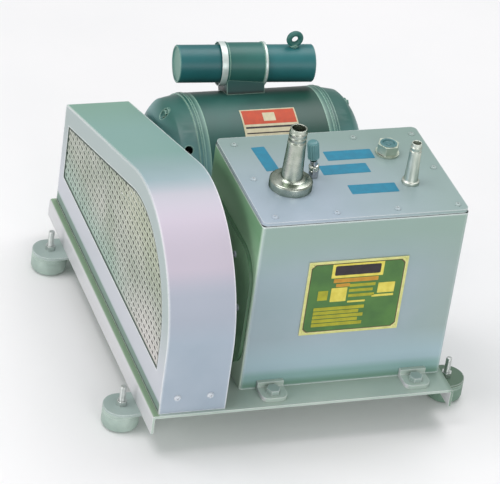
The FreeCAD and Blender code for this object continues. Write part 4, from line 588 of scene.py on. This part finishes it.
def wrapped(name, blocks, lift, thick):
    """Thin panels wrapped on the motor's shell: (left, right, low angle, high angle) above the front."""
    shape = bmesh.new()
    steps = 10
    for left, right, low, high in blocks:
        rings = []
        for step in range(steps + 1):
            angle = math.radians(low + (high - low) * step / steps)
            out = Vector((0, -math.cos(angle), math.sin(angle)))
            ring = []
            for x, reach in ((left, lift), (right, lift), (right, lift + thick), (left, lift + thick)):
                ring.append(Vector((x, motor_axis.y, motor_axis.z)) + out * (shell_radius + reach))
            rings.append(ring)
        prism(shape, rings)
    piece = new_piece(name, shape)
    smooth(piece)
    return piece


# Every solid starts with the finish of its slot

for node, piece in frame["nodes"].items():
    piece.data.materials.clear()
    piece.data.materials.append(finishes[node_slot[node]])


# Tray and feet

# A thread of this size has a pitch of 1.25 mm, too fine to show, so its ridges are drawn 2.2 mm apart
THREAD_PITCH = 2.2
THREAD_CREST, STUD_ROOT, STUD_TIP, TIP_PROUD = 4.35, 3.9, 3.2, 0.05
FOOT_PLATE, NUT_HEIGHT, STUD_RISE = 4, 7, 30


def buffer_profile(height, radius):
    """Rubber buffer: well rounded below, with a shallow groove under its upper rim."""
    bend, groove = 6, 0.8
    return [(0, 0), (0, radius - bend), (1.2, radius - 3), (3.2, radius - 1), (bend, radius),
            (height - 5, radius), (height - 4.4, radius - groove), (height - 3.6, radius - groove),
            (height - 3, radius), (height, radius), (height, 0)]


def thread_profile(start, end):
    """Ridges of a stud between two heights, and its flat tip."""
    profile = [(start, 0), (start, STUD_ROOT)]
    while start + THREAD_PITCH < end:
        profile += [(start + THREAD_PITCH / 2, THREAD_CREST), (start + THREAD_PITCH, STUD_ROOT)]
        start += THREAD_PITCH
    return profile + [(end + TIP_PROUD, STUD_TIP), (end + TIP_PROUD, 0)]


def tray_and_feet():
    """Folded tray, foot plates, studs with their thread, and rubber buffers."""
    softened("base_tray", 0.8, finish=tray_enamel)
    softened("foot_brackets", 0.6, finish=bracket_enamel)
    softened("foot_fasteners", 0.5)
    threads = []
    for side in ("front_left", "front_right", "rear_left", "rear_right"):
        node = "rubber_foot_" + side
        low, high = corners(node)
        foot = centred(node, low.z)
        height, radius = high.z - low.z, (high.x - low.x) / 2
        settle(turned(node + "_moulded", [(foot, Z, buffer_profile(height, radius))], edge=0.8),
               "foot_rubber", "base", [node])
        plate_top = height + FOOT_PLATE
        threads.append((foot, Z, thread_profile(plate_top + NUT_HEIGHT, plate_top + STUD_RISE)))
    settle(turned("foot_stud_threads", threads, sides=24, edge=0.05), "zinc_steel")


tray_and_feet()


# Belt guard, with the bends and the window of its solid

MESH_LAP = 8
ARC_RADIUS = 166
ARC_HEIGHT = 94
ARC_STEPS = 28
SLOPE = math.radians(16.3)
WINDOW_BORDER = 29
WINDOW_REAR_BORDER = 20
WINDOW_SILL = 52

# Expanded sheet: its pitch along and between rows, an opening's half sizes, and the rows and openings that
# are tried. A cell and its opening are outlines in shares of these. The panel lies MESH_DEPTH behind the
# guard's side, and its first row lies just below the sill.
MESH_PITCH, MESH_ROW, MESH_BELOW_SILL = 12.6, 11.4, 2
OPENING_LONG, OPENING_HIGH = 5.2, 3.1
MESH_ROWS, MESH_COLUMNS = 16, 44
MESH_DEPTH, MESH_SHEET = 1.5, 0.8
CELL = [(-0.5, -0.5), (0, -0.5), (0.5, -0.5), (0.5, 0.5), (0, 0.5), (-0.5, 0.5)]
OPENING = [(-0.75, -0.5), (0, -1), (0.75, -0.5), (0.75, 0.5), (0, 1), (-0.75, 0.5)]
CELL_TILT, OPENING_TILT = 0.7, 0.3


def window_outline(lap=MESH_LAP):
    """Outline a lap outside the window in Y and Z, anticlockwise: sill, rear, slope and arc."""
    edge = WINDOW_BORDER - lap
    radius = ARC_RADIUS - edge
    middle_y, middle_z = guard_low.y + ARC_RADIUS, guard_low.z + ARC_HEIGHT
    rear = guard_high.y - WINDOW_REAR_BORDER + lap
    sill = guard_low.z + WINDOW_SILL - lap
    crest = Vector((middle_y + radius * math.sin(SLOPE), middle_z + radius * math.cos(SLOPE)))
    points = [Vector((guard_low.y + edge, sill)), Vector((rear, sill)),
              Vector((rear, crest.y - (rear - crest.x) * math.tan(SLOPE)))]
    for step in range(ARC_STEPS + 1):
        angle = math.pi / 2 - SLOPE + (math.pi / 2 + SLOPE) * step / ARC_STEPS
        points.append(Vector((middle_y + radius * math.cos(angle), middle_z + radius * math.sin(angle))))
    return points


def inside(point, outline):
    """True where a point in Y and Z lies inside a convex outline."""
    for first, last in zip(outline, outline[1:] + outline[:1]):
        side = last - first
        if Vector((-side.y, side.x)).dot(point - first) < 0:
            return False
    return True


def guard_mesh():
    """Expanded sheet: rows of staggered diamond openings, each cell leaning out towards its top."""
    outline = window_outline()
    shape = bmesh.new()
    front = guard_low.x + MESH_DEPTH
    for row in range(MESH_ROWS):
        z = guard_low.z + WINDOW_SILL - MESH_BELOW_SILL + row * MESH_ROW
        for count in range(-1, MESH_COLUMNS):
            y = guard_low.y + (count + row % 2 / 2) * MESH_PITCH
            if not inside(Vector((y, z)), outline):
                continue
            outer = [shape.verts.new(Vector((front + CELL_TILT * (0.5 - v), y + u * MESH_PITCH,
                                             z + v * MESH_ROW)) * MM) for u, v in CELL]
            inner = [shape.verts.new(Vector((front + CELL_TILT / 2 - OPENING_TILT * v, y + u * OPENING_LONG,
                                             z + v * OPENING_HIGH)) * MM) for u, v in OPENING]
            skin(shape, [outer, inner])
    bmesh.ops.remove_doubles(shape, verts=shape.verts, dist=MESH_MERGE)
    piece = new_piece("expanded_mesh", shape)
    sheet = piece.modifiers.new("sheet_thickness", "SOLIDIFY")
    sheet.thickness = MESH_SHEET * MM
    sheet.offset = 0
    settle(piece, "grey_enamel", "base", ["guard_mesh"], mesh_enamel)


def window_strip():
    """Rubber strip round the window, which holds the mesh and shows as a dark line, standing in also for the
    shade in the gap between sheet and mesh.
    """
    rim, face_width, foot_width = 0.02, 2.8, 3.2
    face, seat = guard_low.x + 0.5, guard_low.x + 1.45
    shape = bmesh.new()
    rings = [[shape.verts.new(Vector((x, y, z)) * MM) for y, z in window_outline(-inset)]
             for inset, x in ((rim, seat), (rim, face), (face_width, face), (foot_width, seat))]
    skin(shape, rings, back_to_first=True)
    piece = new_piece("window_edge_strip", shape)
    smooth(piece)
    settle(piece, "grey_enamel", finish=window_rubber_and_shade)


def button_heads(name, spots, radius, height, socket, node, finish):
    """Low domed screw heads with a round driving recess: (seat, direction) for each."""
    profile = [(0, 0), (0, radius), (height * 0.45, radius), (height * 0.8, radius * 0.82),
               (height, radius * 0.55), (height, socket), (height * 0.4, socket), (height * 0.4, 0)]
    heads = turned(name, [(seat, way, profile) for seat, way in spots], sides=28, edge=0.25)
    settle(heads, "zinc_steel", nodes=[node], finish=finish)


def guard():
    """Bent sheet guard with its mesh, brackets and screws."""
    outline = window_outline()
    touching, above_foot, below_window = 0.01, 0.1, 5

    def outer_bend(first, last):
        """True for the outer side's edges, apart from its foot and the rim of its window."""
        on_side = all(abs(end.x - guard_low.x) < touching and end.z > guard_low.z + above_foot
                      for end in (first, last))
        return on_side and (min(first.z, last.z) < guard_low.z + WINDOW_SILL - below_window
                            or not inside(((first + last) / 2).yz, outline))

    softened("guard_shell", 2.6, segments=4, finish=guard_enamel, wide=outer_bend)
    guard_mesh()
    window_strip()
    softened("guard_brackets", 0.5)
    gap, screw_z = 46, middle("guard_screws").z
    belt_plane = (guard_low.x + guard_high.x) / 2
    spots = []
    for x in (belt_plane - gap / 2, belt_plane + gap / 2):
        spots += [(Vector((x, guard_low.y, screw_z)), -Y), (Vector((x, guard_high.y, screw_z)), Y)]
    button_heads("guard_screw_heads", spots, 4.5, 2.5, 1.5, "guard_screws", guard_enamel)


guard()


# Belt drive

for node, edge in (("pump_pulley", 0.8), ("motor_pulley", 0.6), ("v_belts", 0.5)):
    softened(node, edge)


# Oil tank

# The cover's screws stand in from the tank's left, right, front and rear, and six hold the seal's flange
SCREW_LEFT, SCREW_RIGHT, SCREW_FRONT, SCREW_REAR = 20, 12.5, 13, 19
SEAL_SCREWS, SEAL_CIRCLE, SEAL_FLANGE = 6, 71, 5


def cover_screw_places():
    """Four along the front and the back, and one in the middle of each side."""
    left, right = tank_low.x + SCREW_LEFT, tank_high.x - SCREW_RIGHT
    rows = [(left + (right - left) * step / 3, y)
            for y in (tank_low.y + SCREW_FRONT, tank_high.y - SCREW_REAR) for step in range(4)]
    return rows + [(x, (tank_low.y + tank_high.y) / 2) for x in (left, right)]


def tank():
    """Tank, cover, lugs, screws and the fittings in its walls."""
    softened("oil_tank", 0.8, finish=tank_enamel)
    softened("tank_cover", 1.0, segments=3, finish=cover_enamel)
    softened("tank_lugs", 1.2, segments=3, finish=tray_enamel)
    softened("lug_bolts", 0.8, finish=finishes["grey_enamel"])
    softened("seal_housing", 1.0, finish=flange_enamel)
    softened("drain_plug", 0.8)
    spots = [(Vector((x, y, cover_top)), Z) for x, y in cover_screw_places()]
    hub = middle("pump_shaft")
    for step in range(SEAL_SCREWS):
        angle = math.radians(step * 360 / SEAL_SCREWS)
        spots.append((Vector((tank_low.x - SEAL_FLANGE, hub.y + SEAL_CIRCLE * math.cos(angle),
                              hub.z + SEAL_CIRCLE * math.sin(angle))), -X))
    button_heads("tank_screw_heads", spots, 4.5, 2.2, 1.7, "tank_screws", cover_enamel)


def sight_glass():
    """Screwed metal ring with fine grips, and the clear pane in it."""
    low, high = corners("sight_glass")
    foot = Vector((tank_high.x, (low.y + high.y) / 2, (low.z + high.z) / 2))
    depth, radius, opening = high.x - tank_high.x, (high.z - low.z) / 2, 15.5
    ring = [(0, opening), (0, radius), (depth - 2, radius), (depth, radius - 2), (depth, opening + 1.5),
            (depth - 2, opening)]
    pane = [(0, 0), (0, 15.4), (depth - 3, 15.4), (depth - 2.2, 13), (depth - 1.6, 8), (depth - 1.4, 0)]
    settle(turned("sight_glass_ring", [(foot, X, ring)], flutes=(24, 0.7, 1, depth - 2.5), sides=144),
           "nozzle_metal")
    settle(turned("sight_glass_pane", [(foot, X, pane)]), "clear_glass", nodes=["sight_glass"])


tank()
sight_glass()


# Name plate, with blank printed fields

def name_plate():
    """Brass plate: raised border with cut inner corners, green field, blank fields and four rivets."""
    width, height = plate_high.x - plate_low.x, plate_high.z - plate_low.z
    softened("tank_nameplate", 0.3)
    origin = Vector((plate_low.x, plate_low.y, plate_low.z))
    border, cut = 4, 5.5

    def octagon(inset, corner, lift):
        """Outline of the plate with cut corners, at an inset and a lift from its back."""
        left, low, right, high = inset, inset, width - inset, height - inset
        flat = [(left + corner, low), (right - corner, low), (right, low + corner), (right, high - corner),
                (right - corner, high), (left + corner, high), (left, high - corner), (left, low + corner)]
        return [origin + X * x + Z * z - Y * lift for x, z in flat]

    shape = bmesh.new()
    proud = 0.8
    rings = [octagon(0, 0.5, 0), octagon(0, 0.5, 0.5), octagon(0.5, 0.8, proud),
             octagon(border - 0.6, cut, proud), octagon(border, cut, proud / 2), octagon(border, cut, 0)]
    skin(shape, [[shape.verts.new(point * MM) for point in ring] for ring in rings], back_to_first=True)
    settle(new_piece("name_plate_border", shape), "gold_plate")

    for name, inset, lift, finish in (("name_plate_line", border - 0.2, 0.2, umber_print),
                                      ("name_plate_field", border + 1.2, 0.35, green_print)):
        shape = bmesh.new()
        prism(shape, [octagon(inset, cut, 0.02), octagon(inset, cut, lift)])
        settle(new_piece(name, shape), "gold_plate", finish=finish)

    def fields(name, shares, lift, finish, radius=0.8):
        """Blank fields, each (left, top, right, bottom) in shares of the plate."""
        blocks = [(left * width, (1 - bottom) * height, right * width, (1 - top) * height)
                  for left, top, right, bottom in shares]
        settle(blocks_on(name, origin, X, Z, blocks, lift, 0.15, radius), "gold_plate", finish=finish)

    on_field, on_frame = 0.45, 0.55
    fields("name_plate_bar_frame", [(0.24, 0.045, 0.76, 0.235)], on_field, yellow_print)
    fields("name_plate_bar", [(0.27, 0.07, 0.73, 0.2)], on_frame, black_print, 2)
    fields("name_plate_strip", [(0.27, 0.245, 0.72, 0.3), (0.3, 0.315, 0.44, 0.36)], on_field, orange_print)
    fields("name_plate_cells", [(0.26, 0.37, 0.42, 0.56), (0.73, 0.34, 0.9, 0.48), (0.68, 0.5, 0.9, 0.53),
                                (0.44, 0.56, 0.62, 0.585)], on_field, yellow_print)
    rules = [(0.11, 0.63 + 0.055 * step, 0.62 - 0.05 * (step % 2), 0.675 + 0.055 * step) for step in range(5)]
    fields("name_plate_rules", rules + [(0.13, 0.4, 0.23, 0.53), (0.44, 0.33, 0.7, 0.37),
                                        (0.44, 0.4, 0.68, 0.44), (0.44, 0.47, 0.7, 0.51)],
           on_field, lime_print, 0.5)
    rivet = [(0, 0), (0, 2.4), (0.5, 2.3), (1.1, 1.5), (1.4, 0)]
    from_corner, seat = 5, 0.7
    runs = [(origin + X * x + Z * z - Y * seat, -Y, rivet) for x in (from_corner, width - from_corner)
            for z in (from_corner, height - from_corner)]
    settle(turned("name_plate_rivets", runs, sides=20, edge=0.2), "gold_plate")


name_plate()


def cover_labels():
    """Plain blue films on the cover, each (x, y, length, width, angle): one by the inlet and three beyond."""
    corner = Vector((tank_low.x, tank_low.y, cover_top))
    spots = [(52, 153, 19, 60, 3), (171, 150, 68, 23, 0), (153, 116, 68, 23, 0.5), (176, 65, 67, 22, -0.5)]
    for index, (x, y, length, width, angle) in enumerate(spots, start=1):
        way = Vector((math.cos(math.radians(angle)), math.sin(math.radians(angle)), 0))
        blocks = [(-length / 2, -width / 2, length / 2, width / 2)]
        piece = blocks_on("cover_label_%d" % index, corner + X * x + Y * y, way, Z.cross(way), blocks,
                          lift=0.02, thick=0.3, radius=1.2)
        settle(piece, "grey_enamel", finish=blue_label)


cover_labels()


# Fittings on the cover

# Profiles are (height, radius) from the cover's top, or along the ballast valve's leaning axis
RIB_DEPTH, RIB_FLANK = 1.2, 1.0
BALLAST_X, BALLAST_Y, BALLAST_RISE = 22, -121.5, 10
BALLAST_LEAN = math.radians(10)


def ribs(radius, top, length, count):
    """Ribbed end of a nozzle."""
    profile = []
    for step in range(count):
        foot = top - length * (count - step) / count
        profile += [(foot, radius), (foot + RIB_FLANK, radius - RIB_DEPTH)]
    return profile + [(top, radius - RIB_DEPTH)]


def inlet_port():
    """Suction nozzle: wide chamfered boss and a tapered tube with a ribbed end."""
    bore, tube, top = 9, 12.5, 91
    profile = [(0, bore), (0, 29), (11, 29), (13, 27), (14, 18.5), (16, 14.6), (63, tube)]
    profile += ribs(tube, top, 20, 3) + [(top, bore)]
    settle(turned("inlet_port_turned", [(inlet_foot, Z, profile)], edge=0.7), "nozzle_metal",
           nodes=["inlet_port"], finish=inlet_nickel)


def exhaust_tube():
    """Exhaust nozzle: round foot and a tapered tube with a ribbed end."""
    bore, tube, top = 5.5, 8, 62
    profile = [(0, bore), (0, 12), (4, 12), (5, 9.5), (40, tube)] + ribs(tube, top, 12, 2) + [(top, bore)]
    settle(turned("exhaust_tube_turned", [(exhaust_foot, Z, profile)], edge=0.6), "nozzle_metal",
           nodes=["exhaust_tube"], finish=exhaust_nickel)


def ballast_valve():
    """Valve body and its fluted knob, which lean towards the inlet."""
    softened("ballast_body", 0.5)
    way = Vector((-math.sin(BALLAST_LEAN), 0, math.cos(BALLAST_LEAN)))
    root = Vector((BALLAST_X, BALLAST_Y, cover_top + BALLAST_RISE))
    neck = [(0, 0), (0, 6.6), (1, 7.2), (7, 7.2), (8, 6.2), (8.5, 4.6), (15, 4.2), (15, 0)]
    settle(turned("ballast_neck_nut", [(root, way, neck)], sides=96, edge=0.4, flutes=(12, 0.6, 1.2, 6.8)),
           "nozzle_metal")
    knob = [(16, 0), (16, 3), (19, 3), (19, 7), (20, 8), (42.5, 8), (45, 6.5), (46, 4), (46, 0)]
    settle(turned("ballast_knob_fluted", [(root, way, knob)], sides=120, edge=0.8,
                  flutes=(15, 0.7, 20.5, 43)), "dark_plastic", "gas_ballast_knob", ["ballast_knob"])


def filler_plug():
    """Hexagon plug with a dark dished disc in its recess."""
    softened("filler_plug", 1.0, segments=3, finish=plug_steel)
    recess = 6
    foot = centred("filler_plug", corners("filler_plug")[1].z - recess)
    disc = [(0.2, 0), (0.2, 9.9), (6.1, 9.9), (6.1, 12), (7, 11.4), (7, 9), (4.2, 7.6), (4.2, 3.6),
            (5.4, 3), (5.4, 0)]
    settle(turned("filler_plug_disc", [(foot, Z, disc)], edge=0.4), "dark_plastic", "oil_filler_plug")


inlet_port()
exhaust_tube()
ballast_valve()
filler_plug()


# Motor

def motor():
    """Shell, shields, rails and bolts, with the raised bands at the shell's ends."""
    for node, edge in (("motor_frame", 0.8), ("slide_rails", 0.8), ("motor_foot_bolts", 0.8),
                       ("cable_gland", 0.6)):
        softened(node, edge)
    for node, edge in (("drive_end_shield", 1.2), ("rear_end_shield", 1.2), ("through_bolts", 0.5)):
        softened(node, edge, finish=shield_enamel)
    seat, ledge, crest = shell_radius - 0.2, shell_radius + 0.2, shell_radius + 1.1
    band = [(-0.5, seat), (-0.5, crest), (2.4, crest), (3.2, ledge), (11, ledge), (11.6, seat)]
    runs = [(Vector((x, motor_axis.y, motor_axis.z)), way, band)
            for x, way in ((frame_low.x, X), (frame_high.x, -X))]
    settle(turned("shell_end_bands", runs, sides=128, edge=0.3), "green_enamel", finish=shield_enamel)


def rating_plate():
    """Curved plate on the shell: red band with a cream patch over blank ruled fields on cream.

    Blocks are (left, right, low angle, high angle), and the angles are in degrees above the front.
    """
    left, right, low, high = tank_low.x + 89, tank_low.x + 171, 45, 77
    centre, patch = (left + right) / 2, 9
    rules = [(left + 3, right - 3, 58.8, 60.4), (left + 3, right - 3, 54.2, 55.2),
             (left + 3, right - 3, 50, 51)]
    for name, blocks, lift, thick, finish in (
            ("rating_plate", [(left, right, low, high)], 0.05, 0.6, cream_print),
            ("rating_plate_band", [(left + 2, right - 2, 62.5, high - 1)], 0.6, 0.12, red_print),
            ("rating_plate_patch", [(centre - patch, centre + patch, 65, 73)], 0.72, 0.08, cream_print),
            ("rating_plate_rules", rules, 0.6, 0.1, black_print)):
        settle(wrapped(name, blocks, lift, thick), "green_enamel", finish=finish)


motor()
rating_plate()


# Capacitor canister

def canister():
    """Canister with rolled rims, its collar with two bright straps, and the lifting eye."""
    half, radius, rim = 99.5, 27, 2
    rolled_end = [(rim, 0), (rim, radius - 3.4), (0, radius - 2.6), (0, radius - 0.8), (1.2, radius + 0.15),
                  (3, radius)]
    profile = [(-half + length, reach) for length, reach in rolled_end]
    profile += [(half - length, reach) for length, reach in rolled_end[::-1]]
    settle(turned("canister_rolled", [(canister_middle, canister_way, profile)], sides=96), "green_enamel",
           nodes=["capacitor_canister"], finish=canister_enamel)
    softened("capacitor_bracket", 0.6, finish=saddle_enamel)
    collar_shift, collar_length, strap = -4.2, 65.5, 0.4
    left, right = collar_shift - collar_length / 2, collar_shift + collar_length / 2 - 1
    clearance, collar_wall, strap_seat = 0.2, 3, 1
    outer = radius + clearance + collar_wall + strap_seat
    runs = []
    for start, end in ((left - 2.3, left + 6.5), (right - 2.7, right + 0.3)):
        runs.append((canister_middle, canister_way, [(start, outer - strap), (start, outer + strap),
                                                     (end, outer + strap), (end, outer - strap)]))
    settle(turned("collar_straps", runs, sides=96, edge=0.3), "bright_steel", finish=strap_steel)
    ring, wire, wire_sides, shank_drop = 8.5, 4, 20, 12.5
    centre = centred("canister_eye", corners("canister_eye")[1].z - ring - wire)
    circle = [(wire * math.sin(2 * math.pi * step / wire_sides),
               ring + wire * math.cos(2 * math.pi * step / wire_sides)) for step in range(wire_sides)]
    shank = [(0, 0), (0, 6), (1.6, 6), (3, 4.5), (5, 3.2), (5, 0)]
    settle(turned("canister_eye_forged", [(centre, Y, circle), (centre - Z * shank_drop, Z, shank)],
                  edge=0.4), "green_enamel", nodes=["canister_eye"], finish=saddle_enamel)


canister()


# Floor, world and lamps

FLOOR_HALF = 8
WORLD_LEVEL = 0.5

# A lamp is (name, place, the point it faces, width, power), in metres and watts
LAMPS = [("overhead_lamp", (1.1, 0.95, 3.1), (0, 0, 0.2), 2.0, 44),
         ("left_top_lamp", (-1.3, 0.3, 3.1), (0, 0, 0.2), 1.6, 34),
         ("front_lamp", (0.2, -3.2, 1.1), (0, 0, 0.15), 1.8, 32),
         ("left_lamp", (-3.2, -0.9, 0.9), (0, 0, 0.15), 1.8, 34)]


def studio():
    """Pale floor, even white surroundings and soft lamps."""
    mesh = bpy.data.meshes.new("floor")
    outline = [(-FLOOR_HALF, -FLOOR_HALF, 0), (FLOOR_HALF, -FLOOR_HALF, 0), (FLOOR_HALF, FLOOR_HALF, 0),
               (-FLOOR_HALF, FLOOR_HALF, 0)]
    mesh.from_pydata(outline, [], [(0, 1, 2, 3)])
    floor = bpy.data.objects.new("floor", mesh)
    # Backdrop paper, rolled out: white, matt and even, with clouds so wide that they hardly show
    mesh.materials.append(coated("rolled_backdrop_paper", "#F3F4F3", "#EFF1F0", 400, 0.9))
    bpy.context.scene.collection.objects.link(floor)
    world = bpy.data.worlds.new("studio")
    bpy.context.scene.world = world
    world.use_nodes = True
    background = world.node_tree.nodes["Background"]
    background.inputs["Color"].default_value = linear("#EEF2F2")
    background.inputs["Strength"].default_value = WORLD_LEVEL
    for name, place, target, size, power in LAMPS:
        data = bpy.data.lights.new(name, "AREA")
        data.size = size
        data.energy = power
        data.color = linear("#FFF9FD")[:3]
        lamp = bpy.data.objects.new(name, data)
        lamp.location = place
        lamp.rotation_euler = (Vector(place) - Vector(target)).to_track_quat("Z", "Y").to_euler()
        bpy.context.scene.collection.objects.link(lamp)
    bpy.context.scene.view_settings.view_transform = "Standard"


studio()
